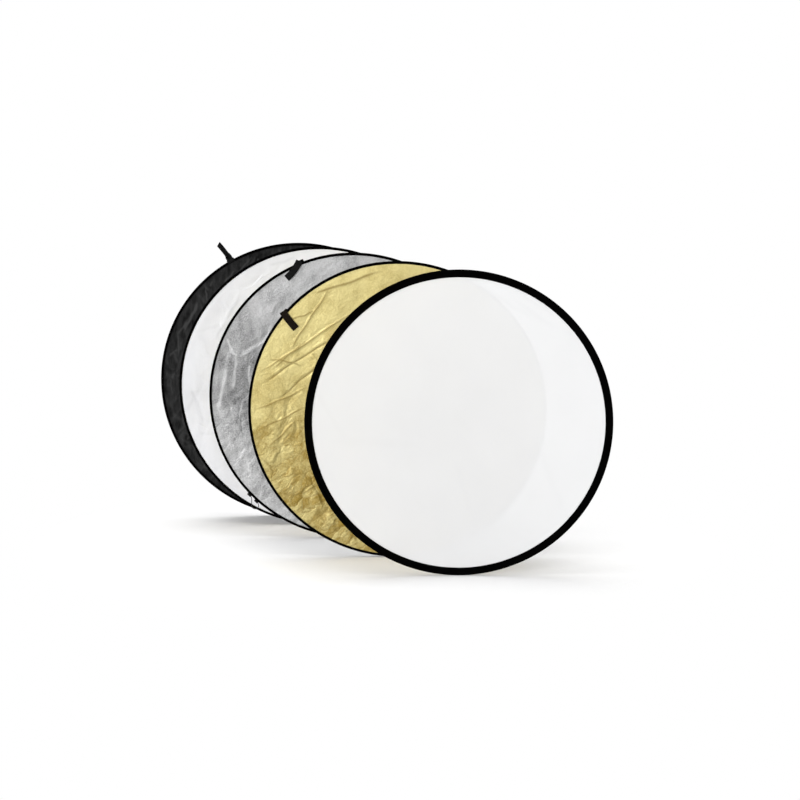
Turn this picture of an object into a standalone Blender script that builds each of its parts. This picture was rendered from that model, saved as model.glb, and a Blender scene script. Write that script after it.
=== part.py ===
"""Five collapsible reflector discs standing on one floor, staggered one behind another.

The front disc is a diffuser: one translucent panel in a wide binding sewn round a
sprung steel hoop. The four discs behind it are zip covers, gold, silver, white and
black, each stretched over a hoop of its own. Metres, +Z up. Every disc stands upright
on the floor at z = 0 and faces -Y.

Each disc is drawn flat in its own frame, as it is seen from the front: X to the right,
Y up and Z towards the viewer, with the hoop's centre at the origin. Angles run
counter-clockwise from +X.
"""

import math

import bmesh
import bpy
from mathutils import Vector

MM = 0.001

# Driving dimensions
DISC_RADIUS = 400 * MM
FACETS = 48  # flat sides of every ring, one of them square on the floor
GAP = 0.3 * MM  # clearance between sewn or sliding neighbours
WELD = 0.01 * MM  # points nearer than this are one point

# Where each disc stands: x and y of its centre
STANDS = {
    "diffuser": (0.223, -0.420),
    "gold": (0.064, -0.176),
    "silver": (-0.059, 0.087),
    "white": (-0.159, 0.289),
    "black": (-0.223, 0.4185),
}

# Diffuser rim: a binding folded over the panel's edge and round the hoop
BINDING_WIDTH = 20 * MM
FLAP_HALF = 1.5 * MM  # half thickness of the stitched flap
FLAP_WIDTH = 10 * MM
BEAD_HALF = 4.0 * MM  # half thickness where the hoop runs
BEAD_WIDTH = 6.5 * MM
BEAD_SHOULDER = 2.0 * MM  # where the bead begins to round off, measured in from the rim
BINDING_CLOTH = 0.8 * MM
HOLLOW_NEAR = 2.4 * MM  # the hoop's hollow and its throat, measured in from the rim
HOLLOW_FAR = 6.0 * MM
HOLLOW_THROAT = 7.1 * MM

# Cover rim: a narrow edge tape on each face, with the zip or the gusset between them
COVER_HALF = 5.5 * MM
TAPE_WIDTH = 7 * MM
TAPE_CLOTH = 0.8 * MM
TAPE_FOLD = 1.2 * MM  # the tape's folded outer edge, measured along the radius
TAPE_DEPTH = 2.8 * MM  # how far the fold reaches back from the face
WEB_OUTER = DISC_RADIUS - 0.4 * MM  # the zip chain and the gusset lie just inside the rim
WEB_INNER = DISC_RADIUS - 3.5 * MM

PANEL_THICKNESS = 0.6 * MM
PANEL_EASE = 0.4 * MM  # a cover panel's edge inside the tape's fold

# Sprung steel hoop and the crimped sleeve that joins its ends
HOOP_THICKNESS = 1.0 * MM
SLEEVE_WALL = 0.45 * MM
SLEEVE_LENGTH = 36 * MM
SLEEVE_ANGLE = 300
DIFFUSER_HOOP = {"inner": DISC_RADIUS - 4.7 * MM, "half": 2.2 * MM}
COVER_HOOP = {"inner": DISC_RADIUS - 6.0 * MM, "half": 2.5 * MM}

# Zip: closed with the slider low on one side, opened by drawing it up and over
ZIP_CLOSED_ANGLE = -58
ZIP_STOPS_SHORT = 16  # degrees between the slider's open end and the webbing tab
ZIP_OVERRUN = 2  # degrees of chain past the slider at each end
SLIDER_LENGTH = 12 * MM
SLIDER_WIDTH = 8.4 * MM
SLIDER_PLATE = 1.6 * MM
SLIDER_EDGE = 0.4 * MM  # its cut edges
SLIDER_RIDE = 1.2 * MM  # underside of the slider above the rim's flats
BAIL_WIDTH = 3 * MM
BAIL_WIRE = 1.2 * MM
BAIL_CLIP = 0.9 * MM  # its cut corners
BAIL_SPAN = 7.6 * MM
BAIL_HEIGHT = 3.8 * MM
BAIL_SINK = 0.6 * MM  # how far the bail's feet are let into the plate
PULL_WIDTH = 7.2 * MM
PULL_LENGTH = 24 * MM
PULL_THICKNESS = 1.4 * MM
PULL_CORNER = 0.6 * MM
PULL_WINDOW_WIDTH = 4.2 * MM
PULL_WINDOW_END = 5.4 * MM
PULL_ANGLE = -90  # it hangs straight down

# Webbing tabs, each sewn to a short base on the rim
TAB_WIDTH = 19 * MM
TAB_LENGTH = 58 * MM
TAB_THICKNESS = 1.6 * MM
TAB_CORNER = 1.5 * MM
TAB_STANDOFF = 5 * MM  # the tab's hinge line beyond the rim
TAB_CUTS = 6  # straight pieces along the edge of a tab that lies on its face
TAB_TWIST = 54  # degrees, on the tab that stands out from the rim
TAB_TURNS = (3 * MM, 18 * MM)  # where the same tab twists, measured from its hinge line
TAB_LEAN = 20  # degrees that the same tab leans to the front
TWIST_CUTS = 14
BASE_WIDTH = 22 * MM
BASE_HALF = 3 * MM

# Hang loop: a thin cord between two sewn tags low on the silver disc
LOOP_ANGLE = 225.6
LOOP_TAG_OFFSET = 1.9  # degrees either side of LOOP_ANGLE
LOOP_TAG = (5.2 * MM, 12 * MM, 7 * MM)
LOOP_CORD_RADIUS = 1.0 * MM
LOOP_LEAD = 2 * MM  # the cord runs square out of each tag's lower end for this far
LOOP_HANGS_MM = (
    (-284.9, -289.0),
    (-284.8, -299.0),
    (-284.8, -308.9),
    (-283.0, -314.5),
    (-278.2, -318.0),
    (-272.2, -318.0),
    (-267.4, -314.5),
    (-265.6, -308.9),
)
LOOP_CUTS = 2  # straight pieces between two points of the route

# What differs from cover to cover: the tab's place on the rim, the way it points, how far
# its tip curves sideways, whether it lies on the face, how far its base stands out from the
# rim, and which face is at the back
COVERS = {
    "gold": {
        "tab_at": 139,
        "tab_points": 303,
        "bow": 5 * MM,
        "lies": True,
        "base_top": 4.2 * MM,
        "back": "silver",
    },
    "silver": {
        "tab_at": 111.4,
        "tab_points": 246,
        "bow": -13 * MM,
        "lies": True,
        "base_top": 6.6 * MM,
        "back": "gold",
    },
    "white": {
        "tab_at": 62,
        "tab_points": 242,
        "bow": 1 * MM,
        "lies": True,
        "base_top": 4.2 * MM,
        "back": "black",
    },
    "black": {
        "tab_at": 119.2,
        "tab_points": 119.2,
        "bow": 5.4 * MM,
        "lies": False,
        "base_top": 4.2 * MM,
        "back": "white",
    },
}

HALF_FACET = math.pi / FACETS


def clear_scene():
    for item in list(bpy.data.objects):
        bpy.data.objects.remove(item, do_unlink=True)


def new_collection(name):
    made = bpy.data.collections.new(name)
    bpy.context.scene.collection.children.link(made)
    return made


def material(name, colour, roughness, metallic=0.0, transmission=0.0):
    made = bpy.data.materials.new(name)
    made.use_nodes = True
    shader = made.node_tree.nodes["Principled BSDF"]
    shader.inputs["Base Color"].default_value = (*colour, 1.0)
    shader.inputs["Roughness"].default_value = roughness
    shader.inputs["Metallic"].default_value = metallic
    shader.inputs["Transmission Weight"].default_value = transmission
    made.diffuse_color = (*colour, 1.0)
    return made


def add(name, data, parent, finish, collection=None):
    """A new object in the parent's frame, in the parts' collection unless told otherwise."""
    made = bpy.data.objects.new(name, data)
    made.parent = parent
    (collection or PARTS).objects.link(made)
    if finish:
        data.materials.append(finish)
    return made


def frame(name, parent=None, place=(0, 0, 0), turn=(0, 0, 0)):
    """An empty that carries the pieces built in its axes."""
    made = bpy.data.objects.new(name, None)
    made.empty_display_size = 0.03
    made.location = place
    made.rotation_euler = turn
    made.parent = parent
    PARTS.objects.link(made)
    return made


def disc_frame(name):
    """Stands a disc's drawing upright on the floor, facing -Y."""
    x, y = STANDS[name]
    return frame(f"{name}_frame", place=(x, y, DISC_RADIUS), turn=(math.pi / 2, 0, 0))


def on_rim(angle, radius, height=0.0):
    a = math.radians(angle)
    return (radius * math.cos(a), radius * math.sin(a), height)


def rim_frame(name, parent, angle, radius, height=0.0, points=None, lean=0.0):
    """A frame on the rim, whose X points outwards or along the angle that is given.

    A lean then tips X towards the front.
    """
    turn = math.radians(angle if points is None else points)
    place = on_rim(angle, radius, height)
    return frame(name, parent, place, (0, -math.radians(lean), turn))


def rim_top(angle, half_width):
    """How far the flat-sided rim reaches past its nominal radius within half_width of an angle."""
    step = math.degrees(2 * HALF_FACET)
    reach = math.degrees(half_width / DISC_RADIUS)
    off_centre = abs((angle + step / 2) % step - step / 2)
    worst = min(off_centre + reach, step / 2)
    return DISC_RADIUS / math.cos(math.radians(worst)) - DISC_RADIUS


def mirrored(half):
    """A section's other half, with its points in the order that continues the outline."""
    return [(r, -z) for r, z in reversed(half)]


def turned(name, section, parent, finish):
    """A ring from a closed section of (radius, height) points, its flats at those radii."""
    mesh = bpy.data.meshes.new(name)
    corners = [(r / math.cos(HALF_FACET), 0, z) for r, z in section]
    count = len(corners)
    mesh.from_pydata(corners, [(i, (i + 1) % count) for i in range(count)], [])
    ring = add(name, mesh, parent, finish)
    ring.rotation_euler.z = HALF_FACET
    screw = ring.modifiers.new("Turn", "SCREW")
    screw.axis = "Z"
    screw.angle = 2 * math.pi
    screw.steps = FACETS
    screw.render_steps = FACETS
    screw.use_merge_vertices = True
    screw.merge_threshold = WELD
    screw.use_smooth_shade = False
    return ring


def plate(name, outlines, half_thickness, parent, finish, collection=None):
    """A flat piece in its parent's XY plane; outlines after the first are holes."""
    curve = bpy.data.curves.new(name, "CURVE")
    curve.dimensions = "2D"
    curve.fill_mode = "BOTH"
    curve.extrude = half_thickness
    for outline in outlines:
        spline = curve.splines.new("POLY")
        spline.points.add(len(outline) - 1)
        spline.use_cyclic_u = True
        for point, (x, y) in zip(spline.points, outline):
            point.co = (x, y, 0, 1)
    return add(name, curve, parent, finish, collection)


def rectangle(x0, y0, x1, y1):
    return [(x0, y0), (x1, y0), (x1, y1), (x0, y1)]


def clipped_rectangle(x0, y0, x1, y1, clip):
    """A rectangle with its corners cut off at 45 degrees."""
    return [
        (x0 + clip, y0),
        (x1 - clip, y0),
        (x1, y0 + clip),
        (x1, y1 - clip),
        (x1 - clip, y1),
        (x0 + clip, y1),
        (x0, y1 - clip),
        (x0, y0 + clip),
    ]


def box(name, size, centre, parent, finish, bevel=0.0):
    mesh = bpy.data.meshes.new(name)
    shape = bmesh.new()
    bmesh.ops.create_cube(shape, size=1.0)
    bmesh.ops.scale(shape, vec=size, verts=shape.verts)
    bmesh.ops.translate(shape, vec=centre, verts=shape.verts)
    shape.to_mesh(mesh)
    shape.free()
    made = add(name, mesh, parent, finish)
    if bevel:
        edges = made.modifiers.new("Edges", "BEVEL")
        edges.width = bevel
        edges.segments = 1
    return made


def panel(name, radius, height, parent, finish):
    """A stretched round of fabric, with the same flats as the rings round it."""
    mesh = bpy.data.meshes.new(name)
    shape = bmesh.new()
    outer = radius / math.cos(HALF_FACET)
    bmesh.ops.create_cone(
        shape,
        cap_ends=True,
        segments=FACETS,
        radius1=outer,
        radius2=outer,
        depth=PANEL_THICKNESS,
    )
    shape.to_mesh(mesh)
    shape.free()
    made = add(name, mesh, parent, finish)
    made.location.z = height
    made.rotation_euler.z = HALF_FACET
    return made


def hoop_and_sleeve(disc, size, parent):
    """The flat steel band, on edge, and the crimped sleeve over its joint."""
    inner = size["inner"]
    outer = inner + HOOP_THICKNESS
    half = [(inner, size["half"]), (outer, size["half"])]
    turned(f"{disc}_hoop", half + mirrored(half), parent, STEEL)
    middle = (inner + outer) / 2
    reach = HOOP_THICKNESS / 2 + GAP
    rise = size["half"] + GAP
    bore = rectangle(-reach, -rise, reach, rise)
    wall = SLEEVE_WALL
    around = rectangle(-reach - wall, -rise - wall, reach + wall, rise + wall)
    seat = rim_frame(f"{disc}_sleeve_frame", parent, SLEEVE_ANGLE, middle)
    sleeve = plate(f"{disc}_hoop_sleeve", [around, bore], SLEEVE_LENGTH / 2, seat, CRIMP)
    sleeve.rotation_euler.x = math.pi / 2


def diffuser():
    parent = disc_frame("diffuser")
    edge = DISC_RADIUS - BINDING_WIDTH
    slot = PANEL_THICKNESS / 2 + GAP
    throat = DISC_RADIUS - HOLLOW_THROAT
    hollow = BEAD_HALF - BINDING_CLOTH
    outside = [
        (edge, slot),
        (edge, FLAP_HALF),
        (edge + FLAP_WIDTH, FLAP_HALF),
        (DISC_RADIUS - BEAD_WIDTH, BEAD_HALF),
        (DISC_RADIUS - BEAD_SHOULDER, BEAD_HALF),
        (DISC_RADIUS, BEAD_HALF / 2),
    ]
    inside = [
        (DISC_RADIUS - HOLLOW_NEAR, hollow),
        (DISC_RADIUS - HOLLOW_FAR, hollow),
        (throat, slot),
    ]
    section = outside + mirrored(outside) + mirrored(inside) + inside
    turned("diffuser_binding", section, parent, BLACK_CLOTH)
    panel("diffuser_panel", throat - 2 * GAP, 0, parent, FACES["diffuser"])
    hoop_and_sleeve("diffuser", DIFFUSER_HOOP, parent)


def edge_tapes(disc, parent):
    face = COVER_HALF
    fold = DISC_RADIUS - TAPE_FOLD
    under = face - TAPE_CLOTH
    front = [
        (DISC_RADIUS - TAPE_WIDTH, face),
        (DISC_RADIUS, face),
        (DISC_RADIUS, face - TAPE_DEPTH),
        (fold, face - TAPE_DEPTH),
        (fold, under),
        (DISC_RADIUS - TAPE_WIDTH, under),
    ]
    turned(f"{disc}_front_tape", front, parent, BLACK_CLOTH)
    turned(f"{disc}_back_tape", mirrored(front), parent, BLACK_CLOTH)


def cover_panels(disc, back, parent):
    radius = DISC_RADIUS - TAPE_FOLD - PANEL_EASE
    middle = COVER_HALF - TAPE_CLOTH - GAP - PANEL_THICKNESS / 2
    panel(f"{disc}_front_panel", radius, middle, parent, FACES[disc])
    panel(f"{disc}_back_panel", radius, -middle, parent, FACES[back])


def zip_travel(disc):
    """The slider's closed and open angles."""
    return ZIP_CLOSED_ANGLE, COVERS[disc]["tab_at"] - ZIP_STOPS_SHORT


def web_outline(start, end):
    """A stretch of the band between the two edge tapes, seen from the front."""
    steps = max(2, round(abs(end - start) / 360 * FACETS))
    spread = 1 / math.cos(math.radians(end - start) / steps / 2)
    angles = [start + (end - start) * i / steps for i in range(steps + 1)]
    outer = [on_rim(a, WEB_OUTER * spread)[:2] for a in angles]
    inner = [on_rim(a, WEB_INNER * spread)[:2] for a in reversed(angles)]
    return outer + inner


def zip_and_gusset(disc, parent):
    """The zip chain fills part of the rim between the tapes and the gusset the rest."""
    half = COVER_HALF - TAPE_DEPTH - GAP
    closed, opened = zip_travel(disc)
    low = closed - ZIP_OVERRUN
    high = opened + ZIP_OVERRUN
    slit = math.degrees(GAP / WEB_OUTER)
    chain = web_outline(low, high)
    gusset = web_outline(high + slit, low + 360 - slit)
    plate(f"{disc}_zip_chain", [chain], half, parent, ZIP_COIL)
    plate(f"{disc}_gusset", [gusset], half, parent, BLACK_CLOTH)


def bail_outline(foot):
    """The slider's bridge from the side: X away from the rim, Y along the zip."""
    top = foot + BAIL_SINK + BAIL_HEIGHT
    half = BAIL_SPAN / 2
    clip = BAIL_CLIP
    inner = half - BAIL_WIRE
    return [
        (foot, -half),
        (top - clip, -half),
        (top, -half + clip),
        (top, half - clip),
        (top - clip, half),
        (foot, half),
        (foot, inner),
        (top - BAIL_WIRE, inner),
        (top - BAIL_WIRE, -inner),
        (foot, -inner),
    ]


def as_mesh(curve_object):
    """The same piece as a welded mesh, so that it can be joined to another."""
    bpy.context.view_layer.update()
    graph = bpy.context.evaluated_depsgraph_get()
    mesh = bpy.data.meshes.new_from_object(curve_object.evaluated_get(graph))
    shape = bmesh.new()
    shape.from_mesh(mesh)
    bmesh.ops.remove_doubles(shape, verts=shape.verts, dist=WELD)
    bmesh.ops.recalc_face_normals(shape, faces=shape.faces)
    shape.to_mesh(mesh)
    shape.free()
    name = curve_object.name
    collection = curve_object.users_collection[0]
    made = bpy.data.objects.new(f"{name}_mesh", mesh)
    made.parent = curve_object.parent
    collection.objects.link(made)
    made.matrix_world = curve_object.matrix_world
    bpy.data.objects.remove(curve_object, do_unlink=True)
    return made


def zip_slider(disc, parent):
    """The slider's plate and bridge, carried round the disc's axis, and its hanging pull."""
    closed, _ = zip_travel(disc)
    carrier = frame(f"{disc}_zip_carrier", parent, turn=(0, 0, math.radians(closed)))
    under = DISC_RADIUS + SLIDER_RIDE
    size = (SLIDER_PLATE, SLIDER_LENGTH, SLIDER_WIDTH)
    centre = (under + SLIDER_PLATE / 2, 0, 0)
    slider = box(f"{disc}_zip_slider", size, centre, carrier, ZIP_METAL, bevel=SLIDER_EDGE)
    top = under + SLIDER_PLATE
    outline = bail_outline(top - BAIL_SINK)
    bail = as_mesh(plate(f"{disc}_bail", [outline], BAIL_WIDTH / 2, carrier, None, CUTTERS))
    bail.hide_render = True
    bail.display_type = "WIRE"
    join = slider.modifiers.new("Bridge", "BOOLEAN")
    join.operation = "UNION"
    join.solver = "EXACT"
    join.object = bail
    zip_pull(disc, carrier, closed, top + (BAIL_HEIGHT - BAIL_WIRE) / 2)


def zip_pull(disc, carrier, closed, radius):
    """A flat pull whose crossbar lies under the bridge; X runs down its length."""
    pivot = frame(
        f"{disc}_pull_frame",
        carrier,
        (radius, 0, 0),
        (0, 0, math.radians(PULL_ANGLE - closed)),
    )
    half = PULL_WIDTH / 2
    start = -PULL_THICKNESS / 2
    outline = clipped_rectangle(start, -half, start + PULL_LENGTH, half, PULL_CORNER)
    window = PULL_WINDOW_WIDTH / 2
    hole = rectangle(PULL_THICKNESS / 2, -window, PULL_WINDOW_END, window)
    pull = plate(f"{disc}_zip_pull", [outline, hole], PULL_THICKNESS / 2, pivot, ZIP_METAL)
    pull.rotation_euler.x = math.pi / 2


def tab_base(disc, parent, lies):
    """The stub of webbing that is sewn to the rim under the tab."""
    at = COVERS[disc]["tab_at"]
    top = COVERS[disc]["base_top"]
    seat = rim_top(at, BASE_WIDTH / 2) + GAP
    front = COVER_HALF - GAP if lies else BASE_HALF
    size = (top - seat, BASE_WIDTH, front + BASE_HALF)
    centre = ((top + seat) / 2, 0, (front - BASE_HALF) / 2)
    place = rim_frame(f"{disc}_tab_base_frame", parent, at, DISC_RADIUS)
    box(f"{disc}_tab_base", size, centre, place, BLACK_CLOTH)


def strap_outline(bow):
    """A strap along X whose tip curves sideways, with its corners cut off."""
    ends = TAB_CORNER / TAB_LENGTH
    inner = [i / TAB_CUTS for i in range(1, TAB_CUTS)]
    left = []
    right = []
    for share in (0, ends, *inner, 1 - ends, 1):
        half = TAB_WIDTH / 2 - (TAB_CORNER if share in (0, 1) else 0)
        middle = Vector((GAP + (TAB_LENGTH - GAP) * share, bow * share**2))
        run = Vector((TAB_LENGTH, 2 * bow * share)).normalized()
        reach = half * Vector((-run.y, run.x))
        left.append(tuple(middle + reach))
        right.append(tuple(middle - reach))
    return right + left[::-1]


def flat_tab(disc, pivot):
    outline = strap_outline(COVERS[disc]["bow"])
    plate(f"{disc}_tab", [outline], TAB_THICKNESS / 2, pivot, WEBBING)


def twist_at(distance):
    """The standing tab's twist at a distance from its hinge line."""
    start, end = TAB_TURNS
    share = min(max((distance - start) / (end - start), 0), 1)
    return math.radians(TAB_TWIST) * share**2 * (3 - 2 * share)


def twisted_tab(disc, pivot):
    """A tab that stands out from the rim, turns about its own length and curves sideways."""
    bow = COVERS[disc]["bow"]
    size = (TAB_LENGTH - GAP, TAB_WIDTH, TAB_THICKNESS)
    tab = box(f"{disc}_tab", size, (GAP + size[0] / 2, 0, 0), pivot, WEBBING)
    shape = bmesh.new()
    shape.from_mesh(tab.data)
    along = [e for e in shape.edges if abs(e.verts[0].co.x - e.verts[1].co.x) > size[0] / 2]
    bmesh.ops.subdivide_edges(shape, edges=along, cuts=TWIST_CUTS, use_grid_fill=True)
    for corner in shape.verts:
        turn = twist_at(corner.co.x)
        y, z = corner.co.y, corner.co.z
        aside = bow * (corner.co.x / TAB_LENGTH) ** 2
        corner.co.y = y * math.cos(turn) - z * math.sin(turn) + aside
        corner.co.z = y * math.sin(turn) + z * math.cos(turn)
    bmesh.ops.triangulate(shape, faces=shape.faces)
    shape.to_mesh(tab.data)
    shape.free()


def webbing_tab(disc, parent):
    """The tab's pivot lies on its hinge line, just beyond the rim; X runs to the tab's tip."""
    cover = COVERS[disc]
    lies = cover["lies"]
    tab_base(disc, parent, lies)
    height = COVER_HALF + GAP + TAB_THICKNESS / 2 if lies else 0
    pivot = rim_frame(
        f"{disc}_tab_frame",
        parent,
        cover["tab_at"],
        DISC_RADIUS + TAB_STANDOFF,
        height,
        cover["tab_points"],
        0 if lies else TAB_LEAN,
    )
    if lies:
        flat_tab(disc, pivot)
    else:
        twisted_tab(disc, pivot)


def loop_tag_angle(side):
    return LOOP_ANGLE + side * LOOP_TAG_OFFSET


def loop_tag_seat(side):
    return rim_top(loop_tag_angle(side), LOOP_TAG[1] / 2) + GAP


def loop_ends(side):
    """Where the cord leaves a tag's lower end, and the end of its straight lead."""
    tall, wide, _ = LOOP_TAG
    angle = loop_tag_angle(side)
    middle = Vector(on_rim(angle, DISC_RADIUS + loop_tag_seat(side) + tall / 2))
    along = Vector(on_rim(angle + 90, 1))
    exit_point = middle + (wide / 2 + GAP) * along
    return exit_point, exit_point + LOOP_LEAD * along


def smooth(route, cuts):
    """Points on a smooth curve through a route, cuts pieces between two of its points."""
    points = [Vector(p) for p in route]
    padded = [2 * points[0] - points[1], *points, 2 * points[-1] - points[-2]]
    line = []
    for before, start, end, after in zip(padded, padded[1:], padded[2:], padded[3:]):
        for i in range(cuts):
            t = i / cuts
            pull = (end - before) * t + (2 * before - 5 * start + 4 * end - after) * t**2
            swing = (3 * start - before - 3 * end + after) * t**3
            line.append(start + (pull + swing) / 2)
    return [*line, points[-1]]


def loop_route():
    """The hang loop's centre line: out of one tag, down, round and up to the other."""
    first, first_lead = loop_ends(-1)
    last, last_lead = loop_ends(1)
    hangs = [(x * MM, y * MM, 0) for x, y in LOOP_HANGS_MM]
    return smooth([first, first_lead, *hangs, last_lead, last], LOOP_CUTS)


def hang_loop(disc, parent):
    tall, wide, deep = LOOP_TAG
    for name, side in (("upper", -1), ("lower", 1)):
        node = f"{disc}_loop_tag_{name}"
        place = rim_frame(f"{node}_frame", parent, loop_tag_angle(side), DISC_RADIUS)
        centre = (loop_tag_seat(side) + tall / 2, 0, 0)
        box(node, (tall, wide, deep), centre, place, BLACK_CLOTH)
    curve = bpy.data.curves.new(f"{disc}_hang_loop", "CURVE")
    curve.dimensions = "3D"
    curve.bevel_depth = LOOP_CORD_RADIUS
    curve.bevel_resolution = 2
    curve.use_fill_caps = True
    spline = curve.splines.new("POLY")
    route = loop_route()
    spline.points.add(len(route) - 1)
    for point, place in zip(spline.points, route):
        point.co = (*place, 1)
    add(f"{disc}_hang_loop", curve, parent, CORD)


def cover_disc(disc):
    parent = disc_frame(disc)
    cover_panels(disc, COVERS[disc]["back"], parent)
    edge_tapes(disc, parent)
    hoop_and_sleeve(disc, COVER_HOOP, parent)
    zip_and_gusset(disc, parent)
    zip_slider(disc, parent)
    webbing_tab(disc, parent)
    if disc == "silver":
        hang_loop(disc, parent)


clear_scene()
PARTS = new_collection("reflector_disc_set")
CUTTERS = new_collection("cutters")

FACES = {
    "diffuser": material("translucent_cloth", (0.90, 0.90, 0.89), 0.70, transmission=0.3),
    "gold": material("gold_cloth", (0.62, 0.48, 0.18), 0.35, 0.8),
    "silver": material("silver_cloth", (0.50, 0.50, 0.51), 0.35, 0.8),
    "white": material("white_cloth", (0.84, 0.84, 0.84), 0.60),
    "black": material("black_face_cloth", (0.024, 0.024, 0.026), 0.75),
}
BLACK_CLOTH = material("black_edge_tape", (0.010, 0.010, 0.011), 0.80)
WEBBING = material("black_webbing", (0.012, 0.011, 0.010), 0.75)
STEEL = material("spring_steel", (0.55, 0.56, 0.58), 0.30, 1.0)
CRIMP = material("crimped_brass", (0.60, 0.50, 0.30), 0.40, 1.0)
ZIP_COIL = material("zip_coil", (0.015, 0.015, 0.016), 0.50)
ZIP_METAL = material("zip_slider_metal", (0.05, 0.05, 0.055), 0.35, 0.9)
CORD = material("thin_cord", (0.10, 0.10, 0.10), 0.70)

diffuser()
for cover_name in COVERS:
    cover_disc(cover_name)
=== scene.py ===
# Looks for five collapsible reflector discs that stand staggered on one floor. Metres, +Z up.
# A disc is drawn flat, as it is seen from the front: x to the right, y up and z towards the
# viewer, with its centre at the origin, and stand() sets the drawing upright in its place.

import math

import bmesh
import bpy
import numpy as np
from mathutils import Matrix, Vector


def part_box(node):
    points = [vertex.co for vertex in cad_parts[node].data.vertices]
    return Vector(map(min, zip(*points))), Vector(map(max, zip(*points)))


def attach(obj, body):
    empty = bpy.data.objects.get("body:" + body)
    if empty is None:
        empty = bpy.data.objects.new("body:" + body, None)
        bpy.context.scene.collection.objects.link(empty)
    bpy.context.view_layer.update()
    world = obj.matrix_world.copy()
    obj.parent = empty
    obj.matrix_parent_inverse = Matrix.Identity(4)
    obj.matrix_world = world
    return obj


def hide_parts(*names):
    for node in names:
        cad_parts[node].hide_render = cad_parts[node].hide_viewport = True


MM = 0.001
TURN = 2 * math.pi

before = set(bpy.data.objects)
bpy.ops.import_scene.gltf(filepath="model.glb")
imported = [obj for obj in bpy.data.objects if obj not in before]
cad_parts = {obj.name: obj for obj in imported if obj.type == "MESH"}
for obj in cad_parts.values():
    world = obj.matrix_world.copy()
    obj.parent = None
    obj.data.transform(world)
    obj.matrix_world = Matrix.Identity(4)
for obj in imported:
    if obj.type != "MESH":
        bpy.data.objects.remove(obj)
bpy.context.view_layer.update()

# What differs from cover to cover: the tab's place on the rim and the way it points, in
# degrees counter-clockwise from the right, how far its tip curves sideways, whether it lies
# on the face, the radius that its base reaches, and which cloth is at the back
COVER_KEYS = ("tab_at", "points", "bow", "lies", "base_top", "back")
COVER_ROWS = {
    "gold": (139, 303, 5 * MM, True, 404.2 * MM, "silver"),
    "silver": (111.4, 246, -13 * MM, True, 406.6 * MM, "gold"),
    "white": (62, 242, 1 * MM, True, 404.2 * MM, "black"),
    "black": (119.2, 119.2, 5.4 * MM, False, 404.2 * MM, "white"),
}
COVERS = {name: dict(zip(COVER_KEYS, row)) for name, row in COVER_ROWS.items()}

# Camera
CAMERA_PLACE = (0.0709, -7.1064, 1.4132)
CAMERA_PITCH = 8.1  # degrees below the horizon
CAMERA_LENS = 117.59  # millimetres, on a sensor of SENSOR
SENSOR = 36
CAMERA_SEES = 200  # metres

# Hang loop, with the route that its solid has, in the silver disc's drawing
LOOP_TAGS = {"upper": (223.7, 403.184 * MM), "lower": (227.5, 403.588 * MM)}  # angle and radius
LOOP_EXIT = 6.3 * MM  # from a tag's middle along the rim to where the cord leaves it
LOOP_LEAD = 2 * MM
LOOP_RADIUS = 1.0 * MM
LOOP_HANGS_MM = (
    (-284.9, -289.0),
    (-284.8, -299.0),
    (-284.8, -308.9),
    (-283.0, -314.5),
    (-278.2, -318.0),
    (-272.2, -318.0),
    (-267.4, -314.5),
    (-265.6, -308.9),
)
LOOP_CUTS = 14
LOOP_PLIES = 3
LOOP_LAY = 7 * MM  # length of one turn of the twist
LOOP_SIDES = 15


def put_in_scene(name, data):
    made = bpy.data.objects.new(name, data)
    bpy.context.scene.collection.objects.link(made)
    return made


def box_round(*nodes):
    corners = np.array([[tuple(c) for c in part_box(n)] for n in nodes])
    return corners[:, 0].min(axis=0), corners[:, 1].max(axis=0)


def middle_of(*nodes):
    low, high = box_round(*nodes)
    return (low + high) / 2


CENTRES = {"diffuser": middle_of("diffuser_binding")}
for cover in COVERS:
    CENTRES[cover] = middle_of(f"{cover}_front_tape", f"{cover}_back_tape")
RIM_LOW, RIM_HIGH = box_round("diffuser_binding")
RADIUS = (RIM_HIGH[0] - RIM_LOW[0]) / 2
COVER_LOW, COVER_HIGH = box_round("gold_front_tape", "gold_back_tape")
COVER_HALF = (COVER_HIGH[1] - COVER_LOW[1]) / 2


def upright(directions):
    """Directions in a disc's flat drawing, as they are once the disc stands."""
    d = np.asarray(directions, dtype=float)
    return np.stack([d[..., 0], -d[..., 2], d[..., 1]], axis=-1)


def stand(disc, points):
    """Points of a disc's flat drawing, set upright where the disc stands."""
    return CENTRES[disc] + upright(points)


def on_rim(degrees, radius, height=0.0):
    a = math.radians(degrees)
    return np.array([radius * math.cos(a), radius * math.sin(a), height])


def rim_axes(degrees):
    """Directions outwards, along the rim and to the viewer, at an angle on the rim."""
    a = math.radians(degrees)
    out = np.array([math.cos(a), math.sin(a), 0])
    return out, np.array([-out[1], out[0], 0]), np.array([0.0, 0.0, 1.0])


def smooth_line(route, cuts):
    """Points on a smooth curve through a route, cuts pieces between two of its points."""
    p = np.asarray(route, dtype=float)
    p = np.vstack([2 * p[0] - p[1], p, 2 * p[-1] - p[-2]])
    t = np.linspace(0, 1, cuts, endpoint=False)[:, None]
    line = []
    for before, start, end, after in zip(p, p[1:], p[2:], p[3:]):
        pull = (end - before) * t + (2 * before - 5 * start + 4 * end - after) * t**2
        swing = (3 * start - before - 3 * end + after) * t**3
        line.append(start + (pull + swing) / 2)
    return np.vstack([*line, p[-2]])


def ramp(low, high, x):
    t = np.clip((x - low) / (high - low), 0, 1)
    return t * t * (3 - 2 * t)


def lengths(line):
    """Distance along a line at each of its points."""
    steps = np.linalg.norm(np.diff(line, axis=0), axis=1)
    return np.concatenate([[0], np.cumsum(steps)])


def headings(line):
    """Direction of a line at each of its points."""
    step = np.gradient(line, axis=0)
    return step / np.linalg.norm(step, axis=1, keepdims=True)


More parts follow.
